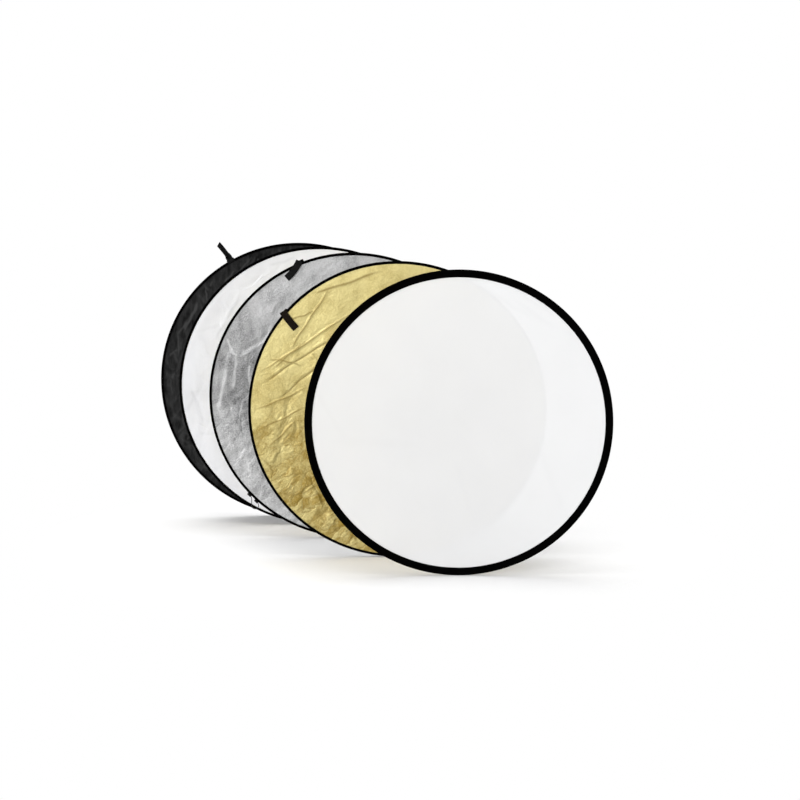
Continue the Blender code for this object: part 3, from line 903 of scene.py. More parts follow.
def creased(p, cloth, radius, seed, finest):
    """A creased cloth at flat points: height, nearness to a crease for painted crease shading,
    tone, and the share of painted facet shading, more of it low down.
    """
    rng = np.random.default_rng(seed)
    look = CLOTHS[cloth]
    x, y = p[:, 0], p[:, 1]
    rumple = 1 - (1 - look["smooth_top"]) * ramp(
        *SMOOTH_BAND, y - SMOOTH_SLOPE * x - SMOOTH_SHIFT
    )
    height = np.zeros(len(p))
    crease = np.zeros(len(p))
    # crease gathers how strongly the colour is painted with crease shading: lines, strays and facet
    # edges
    for start, end, width, tall in look["lines"]:
        d, ends = crease_line(p, start, end, max(width, finest), LINE_WANDER, rng.uniform(0, TURN))
        height += tall * ends * fold_profile(d)
        crease = np.maximum(crease, look["mark"] * ends * mark_profile(d))
    for count, short, long, width, tall, heading, spread in look["strays"]:
        for _ in range(count):
            where = rng.uniform(-radius, radius, 2)
            a = math.radians(heading + rng.uniform(-spread, spread))
            reach = rng.uniform(short, long) / 2
            run = reach * np.array([math.cos(a), math.sin(a)])
            wide = max(finest, width * rng.uniform(0.7, 1.3))
            phase = rng.uniform(0, TURN)
            d, ends = crease_line(p, where - run, where + run, wide, STRAY_WANDER, phase)
            up = tall * rng.uniform(0.4, 1) * rng.choice([-1, 1])
            height += up * ends * fold_profile(d) * rumple
            mark = rng.uniform(0.2, 0.9) * look["mark"] * rumple * ends
            crease = np.maximum(crease, mark * mark_profile(d))
    crumple, lines = crumpled(p, rng, look, radius)
    height += crumple * rumple
    crease = np.maximum(crease, PATCH_MARK * look["mark"] * lines * rumple)
    swell, shortest, longest = look["swell"]
    rise = waves(p, rng, SWELL_WAVES, shortest, longest)
    height += swell * rise
    low_dark, mid_dark = look["darker"]
    mottle = waves(p, rng, TONE_WAVES, shortest / 3, longest / 2)
    tone = TONE_LEVEL + TONE_SWING * rise + TONE_SWING * mottle
    tone += low_dark * (ramp(*LOW_BAND, y) - LOW_MEAN)
    tone += mid_dark * (np.exp(-(((y - MID_HEIGHT) / MID_REACH) ** 2)) - MID_MEAN)
    edge = radius - np.linalg.norm(p, axis=1)
    hold = ramp(CREASE_FREE, CREASE_FULL, edge)
    height = np.where(
        height > 0,
        MOST_PROUD * np.tanh(height / MOST_PROUD),
        MOST_SUNK * np.tanh(height / MOST_SUNK),
    )
    # share of painted facet shading, growing towards the bottom
    wear_and_painted_shading = look["wear_and_painted_shading"] * ramp(*PAINTED_FACET_BAND, y)
    return height * hold, crease * ramp(0, EDGE_FADE, edge), np.clip(tone, 0, 1), wear_and_painted_shading


def cloth_panel(name, disc, cloth, radius, middle, side, rings, seed, finish):
    """A round of stretched cloth. side is 1 for a front and -1 for a back."""
    flat, faces = round_mesh(rings)
    flat = flat * radius
    height, crease, tone, wear_and_painted_shading = creased(flat, cloth, radius, seed, FINEST * radius / rings)
    drawn = np.column_stack([flat[:, 0] * side, flat[:, 1], side * (middle + height)])
    shape = Shape()
    shape.add(stand(disc, drawn), faces, flat[faces])
    piece = shape.build(name, [finish], closed=False)
    for key, values in (("crease", crease), ("tone", tone), ("wear_and_painted_shading", wear_and_painted_shading)):
        layer = piece.data.attributes.new(key, "FLOAT", "POINT")
        layer.data.foreach_set("value", values.astype(np.float32))
    return piece


# Bands, stitches and straps

RING_CUTS = 288
BAND_CUTS = 4
BAND_WAVE = 0.6  # how far a band's wave moves it towards its faces
BAND_NOSE = 0.4  # how far its edges stand out in the middle, in thicknesses
RIPPLE_TURNS = (3, 7, 13, 29, 47)
RIPPLE_SUM = 2.2
RIB_DEPTH = 0.06 * MM
STITCH = (3.0 * MM, 0.55 * MM, 0.35 * MM)  # length, width and height of one stitch
STITCH_PITCH = 4.0 * MM


def band_section(line, thickness):
    """Outline of a band of cloth whose middle follows a line of (radius, height) points."""
    step = headings(line)
    side = np.stack([-step[:, 1], step[:, 0]], -1) * thickness / 2
    nose = BAND_NOSE * thickness
    first, last = line[0] - nose * step[0], line[-1] + nose * step[-1]
    return np.vstack([line + side, [last], (line - side)[::-1], [first]])


def ripple(angles, seed, height):
    """A small uneven wave that closes on itself round the rim."""
    rng = np.random.default_rng(seed)
    total = np.zeros(len(angles))
    for turns in RIPPLE_TURNS:
        total += rng.uniform(0.3, 1) * np.sin(turns * angles + rng.uniform(0, TURN))
    return height * total / RIPPLE_SUM


def add_band(shape, disc, line_mm, thickness, arc=None, seed=0, pucker=0.12 * MM, finish=0):
    """A band of cloth round the rim, whole or over an arc of degrees."""
    section = band_section(smooth_line(line_mm, BAND_CUTS) * MM, thickness)
    whole = arc is None
    low, high = (0, 360) if whole else arc
    cuts = max(8, round(RING_CUTS * (high - low) / 360))
    a = np.radians(np.linspace(low, high, cuts + 1))
    wave = ripple(a, seed, pucker)[:, None]
    sway = ripple(a, seed + 1, pucker)[:, None]
    r = section[None, :, 0] + np.minimum(sway, 0)
    z = section[None, :, 1] + BAND_WAVE * wave
    rows = np.stack([r * np.cos(a)[:, None], r * np.sin(a)[:, None], z], -1)
    along = a * RADIUS
    across = lengths(np.vstack([section, section[:1]]))
    points = stand(disc, rows)
    if whole:
        shape.add_grid(points[:-1], along, across, True, True, finish)
    else:
        shape.add_sweep(points, along, across, finish)


def add_stitches(shape, middles, along, up, finish=1):
    """Small pointed stitches lying half sunk in the cloth."""
    half, wide, tall = STITCH[0] / 2, STITCH[1] / 2, STITCH[2]
    across = np.cross(along, up)
    corners = np.stack(
        [
            middles - half * along,
            middles + half * along,
            middles - wide * across,
            middles + wide * across,
            middles + tall * up,
            middles - tall * up,
        ],
        axis=1,
    )
    pattern = np.array(
        [(0, 2, 4), (2, 1, 4), (1, 3, 4), (3, 0, 4), (2, 0, 5), (1, 2, 5), (3, 1, 5), (0, 3, 5)]
    )
    faces = (pattern[None] + 6 * np.arange(len(middles))[:, None, None]).reshape(-1, 3)
    shape.add(corners.reshape(-1, 3), faces, None, finish)


def add_rim_stitches(shape, disc, radius, height, finish=1):
    """A row of stitches round the rim, at a height on one of its faces."""
    count = round(TURN * radius / STITCH_PITCH)
    a = TURN * np.arange(count) / count
    middles = np.stack([radius * np.cos(a), radius * np.sin(a), np.full(count, height)], -1)
    along = np.stack([-np.sin(a), np.cos(a), 0 * a], -1)
    up = np.tile([0, 0, math.copysign(1, height)], (count, 1))
    add_stitches(shape, stand(disc, middles), upright(along), upright(up), finish)


def strap_section(width, thickness, ribs=6):
    """Outline of webbing: rounded selvedges and low ribs along it."""
    half, rise = width / 2, thickness / 2
    y = np.linspace(-half + rise, half - rise, 25)
    top = rise - RIB_DEPTH * (1 - np.cos(TURN * ribs * (y + half) / width)) / 2
    a = np.radians([60, 20, -20, -60])
    right = np.stack([half - rise + rise * np.cos(a), rise * np.sin(a)], -1)
    upper = np.stack([y, top], -1)
    return np.vstack([upper, right, -upper, -right])


def add_strap(shape, disc, path, side, up, width, thickness, finish=0):
    """Webbing along a path, with the directions of its width and its face at each point."""
    section = strap_section(width, thickness)
    rows = path[:, None] + section[None, :, :1] * side[:, None] + section[None, :, 1:] * up[:, None]
    across = lengths(np.vstack([section, section[:1]]))
    shape.add_sweep(stand(disc, rows), lengths(path), across, finish)


def add_cross_stitches(shape, disc, path, side, up, at, half_width, rise, finish=1):
    """Rows of stitches across a strap, on both its faces, at some distances along it."""
    run = lengths(path)
    count = max(2, round(2 * half_width / STITCH_PITCH))
    spots = np.linspace(-half_width + STITCH[0] / 2, half_width - STITCH[0] / 2, count)
    for distance in at:
        i = int(np.argmin(np.abs(run - distance)))
        for face in (1, -1):
            middles = path[i] + spots[:, None] * side[i] + face * rise * up[i]
            along = np.tile(side[i], (count, 1))
            normal = np.tile(face * up[i], (count, 1))
            add_stitches(shape, stand(disc, middles), upright(along), upright(normal), finish)


# The rims

BINDING_LINE = both_sides(
    (
        (380.2, 1.05),
        (385.0, 1.12),
        (389.6, 1.15),
        (391.8, 2.1),
        (393.6, 3.3),
        (395.8, 3.58),
        (398.0, 3.2),
        (399.4, 1.7),
        (399.6, 0.0),
    )
)
BINDING_CLOTH = 0.8 * MM
BINDING_STITCHES = (382.6 * MM, 389.2 * MM)
BINDING_FACE = 1.55 * MM
TAPE_LINE = ((393.2, 5.1), (395.5, 5.12), (397.8, 5.1), (399.1, 4.75), (399.55, 4.0), (399.6, 3.1))
TAPE_CLOTH = 0.75 * MM
TAPE_STITCHES = 395.2 * MM
WEB_LINE = both_sides(((399.2, -2.3), (398.9, -1.2), (398.7, 0.0)))
WEB_CLOTH = 0.7 * MM
ZIP_CLOSED = -58  # the slider's angle when the zip is shut, in degrees
ZIP_STOPS_SHORT = 16  # degrees from the tab
ZIP_OVERRUN = 2  # degrees of chain beyond the slider at either end
TOOTH_PITCH = 2.1 * MM
TOOTH_HALF = 1.75 * MM
TOOTH_SHARE = 0.36  # half of its foot, in pitches
TOOTH_FOOT = 398.6 * MM
TOOTH_RISE = 1.3 * MM
TOOTH_SHIFT = 0.35 * MM
TOOTH_DROP = 0.55 * MM  # at its ends
TEETH_INSET = 0.3  # degrees from the chain's ends
GUSSET_GAP = 0.1  # degrees from the chain's ends


def diffuser_binding(tape, thread):
    shape = Shape()
    add_band(shape, "diffuser", BINDING_LINE, BINDING_CLOTH, seed=11, pucker=0.1 * MM)
    for radius in BINDING_STITCHES:
        for face in (1, -1):
            add_rim_stitches(shape, "diffuser", radius, face * BINDING_FACE)
    piece = shape.build("diffuser_binding_sewn", [tape, thread])
    dress(piece, "diffuser_binding", "diffuser")


def edge_tape(disc, side, name, seed, tape, thread):
    shape = Shape()
    line = [(r, side * z) for r, z in TAPE_LINE]
    add_band(shape, disc, line, TAPE_CLOTH, seed=seed, pucker=0.09 * MM)
    add_rim_stitches(shape, disc, TAPE_STITCHES, side * COVER_HALF)
    piece = shape.build(f"{disc}_{name}_tape_sewn", [tape, thread])
    dress(piece, f"{disc}_{name}_tape", f"{disc}_disc")


def zip_arc(disc):
    """The chain's first and last angle."""
    opened = COVERS[disc]["tab_at"] - ZIP_STOPS_SHORT
    return ZIP_CLOSED - ZIP_OVERRUN, opened + ZIP_OVERRUN


def add_teeth(shape, disc, low, high, finish):
    """Coil teeth across the chain, set a little to one side and the other by turns."""
    reach = math.radians(high - low) * RADIUS
    count = int(reach / TOOTH_PITCH)
    a = np.radians(low) + (np.arange(count) + 0.5) * TOOTH_PITCH / RADIUS
    half = TOOTH_SHARE * TOOTH_PITCH
    outline = np.array([(-half, 0.0), (-0.7 * half, 0.7), (0.7 * half, 0.7), (half, 0.0)])
    outline[:, 1] = TOOTH_FOOT + outline[:, 1] * TOOTH_RISE
    shift = np.where(np.arange(count) % 2, TOOTH_SHIFT, -TOOTH_SHIFT)
    ends = np.array([-TOOTH_HALF, -0.55 * TOOTH_HALF, 0.55 * TOOTH_HALF, TOOTH_HALF])
    drop = TOOTH_DROP * np.array([1.0, 0.0, 0.0, 1.0])
    turn = a[:, None, None] + outline[None, None, :, 0] / RADIUS
    r = outline[None, None, :, 1] - drop[None, :, None] * (np.arange(4) % 3 > 0)[None, None, :]
    z = (ends[None, :] + shift[:, None])[:, :, None] + 0 * turn
    points = np.stack([r * np.cos(turn), r * np.sin(turn), z], -1)
    quads = []
    for i in range(3):
        for j in range(4):
            k = (j + 1) % 4
            quads.append((i * 4 + j, i * 4 + k, i * 4 + 4 + k, i * 4 + 4 + j))
    quads += [(3, 2, 1, 0), (12, 13, 14, 15)]
    faces = (np.array(quads)[None] + 16 * np.arange(count)[:, None, None]).reshape(-1, 4)
    shape.add(stand(disc, points).reshape(-1, 3), faces, None, finish)


def zip_chain(disc, tape, coil):
    low, high = zip_arc(disc)
    shape = Shape()
    add_band(shape, disc, WEB_LINE, WEB_CLOTH, (low, high), seed=31, pucker=0.05 * MM)
    add_teeth(shape, disc, low + TEETH_INSET, high - TEETH_INSET, 1)
    piece = shape.build(f"{disc}_zip_chain_teeth", [tape, coil])
    dress(piece, f"{disc}_zip_chain", f"{disc}_disc")


def gusset(disc, tape):
    low, high = zip_arc(disc)
    shape = Shape()
    arc = (high + GUSSET_GAP, low + 360 - GUSSET_GAP)
    add_band(shape, disc, WEB_LINE, WEB_CLOTH, arc, seed=37, pucker=0.16 * MM)
    piece = shape.build(f"{disc}_gusset_cloth", [tape])
    dress(piece, f"{disc}_gusset", f"{disc}_disc")


# Zip sliders and pulls

SLIDER_LENGTH = 12 * MM
SLIDER_WIDTH = 8.4 * MM
SLIDER_LOW = 401.2 * MM
SLIDER_HIGH = 402.8 * MM
SLIDER_ROUND = 0.35 * MM
NECK_LOW = 399.9 * MM
NECK_SCALES = (0.44, 0.5)  # of the slider's outline, at the neck's foot and at its top
NECK_SUNK = 0.2 * MM  # into the slider
BAIL_LINE = both_sides(((402.5, -3.2), (404.6, -3.2), (405.7, -2.6), (406.0, -1.2)))
BAIL_WIRE = (1.1 * MM, 3.0 * MM)
BAIL_SIDES = 16
PULL_PIVOT = 404.1 * MM
PULL_LENGTH = 24 * MM
PULL_WIDTH = 7.2 * MM
PULL_HALF = 0.7 * MM
PULL_EDGE = 0.25 * MM
PULL_CORNER = 1.6 * MM
PULL_WINDOW = (PULL_HALF, -2.1 * MM, 5.4 * MM, 2.1 * MM, 0.8 * MM)  # sides, and corner radius
PULL_SLOT = (9 * MM, -1.1 * MM, 12 * MM, 1.1 * MM, 1.0 * MM)
PULL_RIDGES = (14.5 * MM, 16.2 * MM, 17.9 * MM, 19.6 * MM)  # from the pivot
RIDGE = (0.45 * MM, 2.5 * MM, 0.3 * MM)  # half its breadth, half its length, and its height
RIDGE_SIDES = 12
WELD = 0.005 * MM  # points nearer than this are one


def slider_outline(scale=1.0, cuts=48):
    """A slider seen from above: broad shoulders and a narrower tail."""
    a = TURN * np.arange(cuts) / cuts
    c, s = np.cos(a), np.sin(a)
    x = np.sign(c) * np.abs(c) ** 0.55 * SLIDER_LENGTH / 2
    waist = 0.86 + 0.14 * np.sin(0.5 * math.pi * x / (SLIDER_LENGTH / 2))
    y = np.sign(s) * np.abs(s) ** 0.5 * SLIDER_WIDTH / 2 * waist
    return np.stack([x, y], -1) * scale


def add_stack(shape, layers, out, along, face, disc, finish=0):
    """A lofted block: outlines at rising radii, filled at both ends."""
    rows = [r * out + o[:, :1] * along + o[:, 1:] * face for r, o in layers]
    points = stand(disc, np.array(rows))
    count = points.shape[1]
    shape.add_sweep(points, np.arange(len(rows)) * MM, np.arange(count + 1) * MM, finish)


def zip_slider(disc, metal):
    out, along, face = rim_axes(ZIP_CLOSED)
    shape = Shape()
    shrink = 1 - 2 * SLIDER_ROUND / SLIDER_WIDTH
    steps = ((0, shrink), (0.4, 1 - (1 - shrink) * 0.35), (1, 1))
    plate = [(SLIDER_LOW + SLIDER_ROUND * up, slider_outline(scale)) for up, scale in steps]
    plate += [(SLIDER_HIGH - SLIDER_ROUND * up, slider_outline(scale)) for up, scale in steps[::-1]]
    add_stack(shape, plate, out, along, face, disc)
    radii = (NECK_LOW, SLIDER_LOW + NECK_SUNK)
    neck = [(radius, slider_outline(scale)) for radius, scale in zip(radii, NECK_SCALES)]
    add_stack(shape, neck, out, along, face, disc)
    line = smooth_line(np.array(BAIL_LINE) * MM, 4)
    path = line[:, :1] * out + line[:, 1:] * along
    step = headings(path)
    normal = np.cross(face, step)
    a = TURN * np.arange(BAIL_SIDES) / BAIL_SIDES
    broad = np.sign(np.cos(a)) * np.abs(np.cos(a)) ** 0.6
    ring = np.stack([broad * BAIL_WIRE[0] / 2, np.sin(a) * BAIL_WIRE[1] / 2], -1)
    rows = path[:, None] + ring[None, :, :1] * normal[:, None] + ring[None, :, 1:] * face
    shape.add_sweep(stand(disc, rows), lengths(path), np.arange(BAIL_SIDES + 1) * MM)
    piece = shape.build(f"{disc}_zip_slider_cast", [metal])
    dress(piece, f"{disc}_zip_slider", f"{disc}_slider")


def rounded_outline(x0, y0, x1, y1, corner, cuts=6):
    """A rectangle with round corners."""
    left, right, low, high = x0 + corner, x1 - corner, y0 + corner, y1 - corner
    spots = ((right, high, 0), (left, high, 90), (left, low, 180), (right, low, 270))
    points = []
    for x, y, start in spots:
        for i in range(cuts + 1):
            a = math.radians(start + 90 * i / cuts)
            points.append((x + corner * math.cos(a), y + corner * math.sin(a)))
    return points


def filled_plate(outlines, half, edge):
    """Points and faces of a flat plate with holes and rounded edges."""
    curve = bpy.data.curves.new("plate", "CURVE")
    curve.dimensions = "2D"
    curve.fill_mode = "BOTH"
    curve.extrude = half - edge
    curve.bevel_depth = edge
    curve.bevel_resolution = 2
    curve.offset = -edge
    for outline in outlines:
        spline = curve.splines.new("POLY")
        spline.points.add(len(outline) - 1)
        spline.use_cyclic_u = True
        for point, (x, y) in zip(spline.points, outline):
            point.co = (x, y, 0, 1)
    drawn = put_in_scene("plate", curve)
    bpy.context.view_layer.update()
    ready = bpy.context.evaluated_depsgraph_get()
    mesh = bpy.data.meshes.new_from_object(drawn.evaluated_get(ready))
    work = bmesh.new()
    work.from_mesh(mesh)
    bmesh.ops.remove_doubles(work, verts=work.verts, dist=WELD)
    points = np.array([v.co[:] for v in work.verts])
    work.verts.index_update()
    faces = [[v.index for v in f.verts] for f in work.faces]
    work.free()
    bpy.data.objects.remove(drawn, do_unlink=True)
    bpy.data.meshes.remove(mesh)
    bpy.data.curves.remove(curve)
    return points, faces


def zip_pull(disc, metal):
    pivot = on_rim(ZIP_CLOSED, PULL_PIVOT)
    half = PULL_WIDTH / 2
    start = -PULL_HALF
    body = (start, -half, start + PULL_LENGTH, half, PULL_CORNER)
    outlines = [rounded_outline(*sides) for sides in (body, PULL_WINDOW, PULL_SLOT)]
    points, faces = filled_plate(outlines, PULL_HALF, PULL_EDGE)
    down, across, thick = np.array([0, -1.0, 0]), np.array([0, 0, 1.0]), np.array([1.0, 0, 0])

    def hung(p):
        return stand(disc, pivot + p[..., :1] * down + p[..., 1:2] * across + p[..., 2:] * thick)

    shape = Shape()
    shape.add(hung(points), faces, None)
    a = TURN * np.arange(RIDGE_SIDES) / RIDGE_SIDES
    reach = np.linspace(-1, 1, 7)[:, None]
    taper = np.sqrt(np.clip(1 - reach**4, 0.04, 1))
    for distance in PULL_RIDGES:
        for face in (1, -1):
            rows = np.empty((len(reach), RIDGE_SIDES, 3))
            rows[..., 0] = distance + RIDGE[0] * np.cos(a) * taper
            rows[..., 1] = reach * RIDGE[1]
            rows[..., 2] = face * PULL_HALF + RIDGE[2] * np.sin(a) * taper
            shape.add_sweep(hung(rows), np.arange(len(reach)) * MM, np.arange(RIDGE_SIDES + 1) * MM)
    piece = shape.build(f"{disc}_zip_pull_cast", [metal])
    dress(piece, f"{disc}_zip_pull", f"{disc}_pull")


# Webbing tabs and their bases

TAB_WIDTH = 19 * MM
TAB_LENGTH = 58 * MM
TAB_THICKNESS = 1.6 * MM
TAB_HINGE = 405 * MM
TAB_GAP = 0.3 * MM
TAB_TWIST = 54  # degrees
TAB_TURNS = (3 * MM, 18 * MM)  # where the standing tab twists, measured from its hinge line
TAB_LEAN = 20  # degrees towards the viewer
HEM_RADIUS = 0.85 * MM  # the tab's rolled end, on its hinge line
HEM_SIDES = 16
HEM_REACH = (-1, -0.97, -0.9, 0.9, 0.97, 1)  # places across it, in half widths
HEM_SWELL = (0.45, 0.85, 1, 1, 0.85, 0.45)  # its radius at each of them, in HEM_RADIUS
TAB_CUTS = 60
TAB_SEAMS = (4.5 * MM, 7.0 * MM, 44.0 * MM, 50.0 * MM)
TAB_SELVEDGE = 1.6 * MM
TAB_INSET = 0.12 * MM  # the under layer is this much narrower
TAB_LAYER_GAP = 0.04 * MM
LYING_CURL = 0.35 * MM
STANDING_CURL = 1.5 * MM
WEBBING_CUTS = 5
BASE_WIDTH = 22 * MM
BASE_CLOTH = 1.2 * MM
BASE_FOOT = 400.6 * MM  # beyond this radius a base stretches to the height that it has
BASE_LIES = (
    (394.0, -6.15),
    (397.5, -6.2),
    (400.6, -6.0),
    (402.6, -4.4),
    (403.5, -1.5),
    (403.6, 2.0),
    (403.6, 4.6),
)
BASE_STANDS = both_sides(
    ((394.0, -6.15), (397.5, -6.2), (400.6, -6.0), (402.6, -4.2), (403.5, -1.5))
)
BASE_SEAMS = (1.6 * MM, 3.4 * MM)  # from the webbing's ends
BASE_SELVEDGE = 1.5 * MM  # from a row of stitches to the webbing's side


def sewn_webbing(name, disc, degrees, line, width, cloth, seams, both_ends, selvedge, finishes):
    """Webbing over the rim along a line of (radius, height) points, with rows of stitches."""
    out, along, face = rim_axes(degrees)
    rz = smooth_line(line, WEBBING_CUTS)
    path = rz[:, :1] * out + rz[:, 1:] * face
    side = np.tile(along, (len(path), 1))
    up = np.cross(headings(path), side)
    shape = Shape()
    add_strap(shape, disc, path, side, up, width, cloth)
    rows = list(seams)
    if both_ends:
        rows += [lengths(path)[-1] - seam for seam in seams]
    add_cross_stitches(shape, disc, path, side, up, rows, width / 2 - selvedge, cloth / 2)
    piece = shape.build(f"{name}_sewn", finishes)
    dress(piece, name, f"{disc}_disc")


def tab_base(disc, webbing, thread):
    cover = COVERS[disc]
    line = np.array(BASE_LIES if cover["lies"] else BASE_STANDS) * MM
    reach = line[:, 0].max() - BASE_FOOT
    stretch = (cover["base_top"] - BASE_CLOTH / 2 - BASE_FOOT) / reach
    line[:, 0] += np.maximum(line[:, 0] - BASE_FOOT, 0) * (stretch - 1)
    sewn_webbing(
        f"{disc}_tab_base",
        disc,
        cover["tab_at"],
        line,
        BASE_WIDTH,
        BASE_CLOTH,
        BASE_SEAMS,
        not cover["lies"],
        BASE_SELVEDGE,
        [webbing, thread],
    )


def tab_path(disc):
    """The tab's middle line from its hinge, with the directions of its width and face."""
    cover = COVERS[disc]
    lies = cover["lies"]
    lean = math.radians(0 if lies else TAB_LEAN)
    out, wide, _ = rim_axes(cover["points"])
    run = out * math.cos(lean) + np.array([0, 0, math.sin(lean)])
    face = np.cross(run, wide)
    height = COVER_HALF + TAB_GAP + TAB_THICKNESS / 2 if lies else 0
    pivot = on_rim(cover["tab_at"], TAB_HINGE, height)
    a = np.linspace(TAB_GAP, TAB_LENGTH, TAB_CUTS)
    t = a / TAB_LENGTH
    bow = cover["bow"] * t**2
    curl = LYING_CURL * np.sin(math.pi * t) if lies else STANDING_CURL * np.sin(2.5 * t) * t
    path = pivot + a[:, None] * run + bow[:, None] * wide + curl[:, None] * face
    step = headings(path)
    flat = np.cross(face, step)
    flat /= np.linalg.norm(flat, axis=1, keepdims=True)
    over = np.cross(step, flat)
    twist = np.zeros(len(a)) if lies else math.radians(TAB_TWIST) * ramp(*TAB_TURNS, a)
    side = np.cos(twist)[:, None] * flat + np.sin(twist)[:, None] * over
    up = -np.sin(twist)[:, None] * flat + np.cos(twist)[:, None] * over
    return path, side, up


def add_hem(shape, disc, path, side, up):
    """The rolled end of a tab, along its hinge line."""
    run = np.cross(side[0], up[0])
    middle = path[0] - TAB_GAP * run
    a = TURN * np.arange(HEM_SIDES) / HEM_SIDES
    ring = HEM_RADIUS * (np.cos(a)[:, None] * run + np.sin(a)[:, None] * up[0])
    across = np.array(HEM_REACH) * TAB_WIDTH / 2
    swell = np.array(HEM_SWELL)
    rows = middle + across[:, None, None] * side[0] + swell[:, None, None] * ring
    shape.add_sweep(stand(disc, rows), across, np.arange(len(a) + 1) * HEM_RADIUS)


def webbing_tab(disc, webbing, thread):
    """Webbing folded back on itself: two layers, with a rolled end on the hinge line."""
    path, side, up = tab_path(disc)
    shape = Shape()
    layer = TAB_THICKNESS / 2
    for face, trim in ((1, 0), (-1, 1)):
        stretch = slice(0, len(path) - trim)
        offset = face * layer / 2
        add_strap(
            shape,
            disc,
            path[stretch] + offset * up[stretch],
            side[stretch],
            up[stretch],
            TAB_WIDTH - (TAB_INSET if face < 0 else 0),
            layer - TAB_LAYER_GAP,
        )
    add_hem(shape, disc, path, side, up)
    half = TAB_WIDTH / 2 - TAB_SELVEDGE
    add_cross_stitches(shape, disc, path, side, up, TAB_SEAMS, half, TAB_THICKNESS / 2)
    piece = shape.build(f"{disc}_tab_webbing", [webbing, thread])
    dress(piece, f"{disc}_tab", f"{disc}_strap")


# Hang loop and its tags


def loop_ends(name):
    """Where the cord leaves a tag's lower end, and the end of its straight lead."""
    angle, radius = LOOP_TAGS[name]
    along = on_rim(angle + 90, 1)
    start = on_rim(angle, radius) + LOOP_EXIT * along
    return start, start + LOOP_LEAD * along


def hang_loop(cord):
    first, first_lead = loop_ends("upper")
    last, last_lead = loop_ends("lower")
    hangs = [(x * MM, y * MM, 0) for x, y in LOOP_HANGS_MM]
    path = smooth_line([first, first_lead, *hangs, last_lead, last], LOOP_CUTS)
    step = headings(path)
    face = np.array([0.0, 0.0, 1.0])
    normal = np.cross(face, step)
    run = lengths(path)
    a = TURN * np.arange(LOOP_SIDES) / LOOP_SIDES
    lay = LOOP_PLIES * (a[None] - TURN * run[:, None] / LOOP_LAY)
    r = LOOP_RADIUS * (0.92 + 0.08 * np.cos(lay))
    rows = path[:, None] + (r * np.cos(a))[..., None] * normal[:, None]
    rows = rows + (r * np.sin(a))[..., None] * face
    shape = Shape()
    across = TURN * LOOP_RADIUS * np.arange(LOOP_SIDES + 1) / LOOP_SIDES
    shape.add_sweep(stand("silver", rows), run, across)
    piece = shape.build("silver_hang_loop_cord", [cord])
    dress(piece, "silver_hang_loop", "silver_disc")


TAG_WIDTH = 12 * MM
TAG_CLOTH = 1.0 * MM
TAG_LINE = both_sides(
    ((399.9, -3.0), (402.0, -3.1), (404.2, -2.6), (405.2, -1.4), (405.4, 0.0))
)
TAG_SEAMS = (1.4 * MM,)
TAG_SELVEDGE = 0.5 * MM


def loop_tag(name, webbing, thread):
    """A short loop of webbing sewn to the rim, which the cord comes out of."""
    sewn_webbing(
        f"silver_loop_tag_{name}",
        "silver",
        LOOP_TAGS[name][0],
        np.array(TAG_LINE) * MM,
        TAG_WIDTH,
        TAG_CLOTH,
        TAG_SEAMS,
        True,
        TAG_SELVEDGE,
        [webbing, thread],
    )


# Everything in its place

bpy.context.scene.view_settings.view_transform = "Standard"
add_camera()
CORD = cord_finish("thin_cord", (0.045, 0.045, 0.047))
hang_loop(CORD)

add_world()
add_floor()
for name, lamp in LAMPS.items():
    add_sun(name, *lamp)

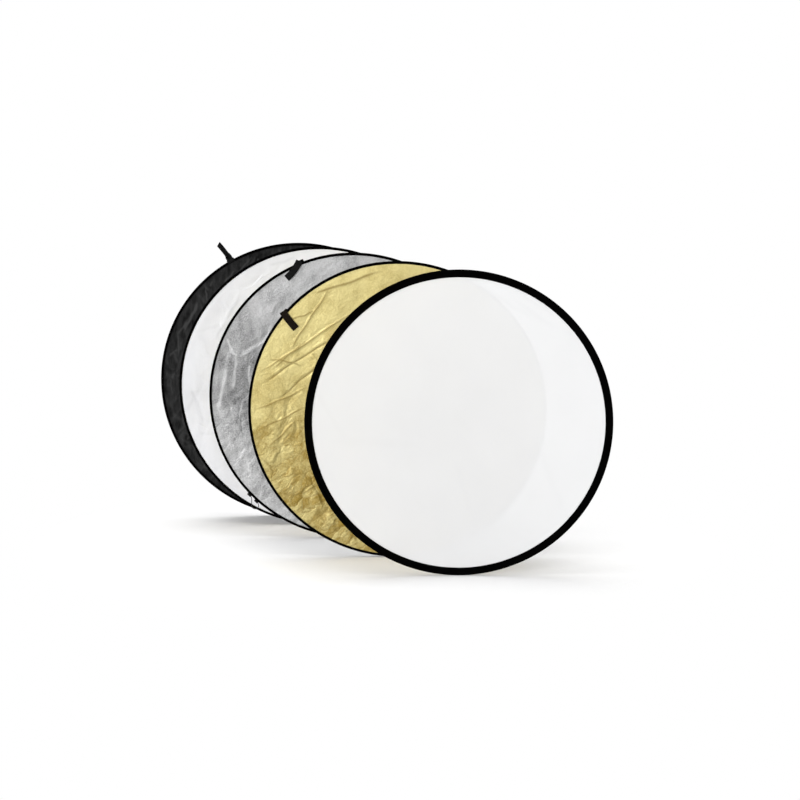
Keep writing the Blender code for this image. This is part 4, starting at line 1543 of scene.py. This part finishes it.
TAPE = tape_finish("black_edge_tape", (0.0010, 0.0009, 0.0009), (0.0028, 0.0026, 0.0026))
THREAD = thread_finish("black_thread", (0.0016, 0.0016, 0.0016))
WEBBING = webbing_finish("black_webbing", (0.006, 0.006, 0.006), (0.017, 0.017, 0.017))
BROWN_WEBBING = webbing_finish("brown_black_webbing", (0.007, 0.0045, 0.003), (0.018, 0.012, 0.008))
COIL = coil_finish("zip_coil", (0.010, 0.010, 0.011))
ZIP_METAL = painted_finish("zip_slider_metal", (0.03, 0.03, 0.033), (0.35, 0.34, 0.33))
STEEL = metal_finish("spring_steel", (0.55, 0.56, 0.58), (0.32, 0.32, 0.34), 0.3, 2 * MM)
CRIMP = metal_finish("crimped_brass", (0.60, 0.50, 0.30), (0.36, 0.28, 0.16), 0.4, 1 * MM)
FACES = {
    "gold": foil_finish(
        "gold_cloth",
        light=(0.665, 0.572, 0.248),
        dark=(0.275, 0.18, 0.02),
        # painted crease shade
        painted_crease_colour=(0.19, 0.125, 0.02),
        roughness=0.42,
        metallic=0.45,
        grain=4.5 * MM,
        grit_share=0.2,
        blotch=0.3,
    ),
    "silver": foil_finish(
        "silver_cloth",
        light=(0.525, 0.525, 0.525),
        dark=(0.055, 0.055, 0.055),
        # painted crease highlight
        painted_crease_colour=(0.78, 0.78, 0.78),
        roughness=0.45,
        metallic=0.4,
        grain=3.2 * MM,
        grit_share=0.32,
        blotch=0.06,
    ),
    "white": cloth_finish(
        "white_cloth",
        plain=(0.92, 0.932, 0.973),
        # painted crease shade
        folded=(0.76, 0.77, 0.807),
        roughness=0.6,
        streak=50 * MM,
        specular=0.3,
        fold=0.6,
    ),
    "black": cloth_finish(
        "black_face_cloth",
        plain=(0.0003, 0.0003, 0.0003),
        # painted crease highlight
        folded=(0.062, 0.062, 0.062),
        roughness=0.85,
        streak=11 * MM,
        specular=0.03,
        fold=1.1,
    ),
}

BINDING_THROAT = 392.3 * MM
PANEL_RADIUS = 397.6 * MM
PANEL_MIDDLE = 4.1 * MM
DIFFUSER_SEED = 5
PANEL_SEED = 100
TAPE_SEED = 50

sheer = cloth_panel(
    "diffuser_panel_cloth",
    "diffuser",
    "diffuser",
    BINDING_THROAT,
    0.0,
    1,
    PANEL_RINGS,
    DIFFUSER_SEED,
    translucent_finish(),
)
dress(sheer, "diffuser_panel", "diffuser")
diffuser_binding(TAPE, THREAD)

for order, (disc, cover) in enumerate(COVERS.items()):
    faces = (("front", disc, 1, PANEL_RINGS), ("back", cover["back"], -1, BACK_RINGS))
    for name, cloth, side, rings in faces:
        piece = cloth_panel(
            f"{disc}_{name}_panel_cloth",
            disc,
            cloth,
            PANEL_RADIUS,
            PANEL_MIDDLE,
            side,
            rings,
            PANEL_SEED + 10 * order + side,
            FACES[cloth],
        )
        dress(piece, f"{disc}_{name}_panel", f"{disc}_disc")
        edge_tape(disc, side, name, TAPE_SEED + 2 * order + side, TAPE, THREAD)
    zip_chain(disc, TAPE, COIL)
    gusset(disc, TAPE)
    zip_slider(disc, ZIP_METAL)
    zip_pull(disc, ZIP_METAL)
    strap = BROWN_WEBBING if disc == "gold" else WEBBING
    tab_base(disc, strap, THREAD)
    webbing_tab(disc, strap, THREAD)

for name in LOOP_TAGS:
    loop_tag(name, WEBBING, THREAD)

for disc in CENTRES:
    for node, finish in ((f"{disc}_hoop", STEEL), (f"{disc}_hoop_sleeve", CRIMP)):
        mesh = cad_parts[node].data
        mesh.materials.clear()
        mesh.materials.append(finish)
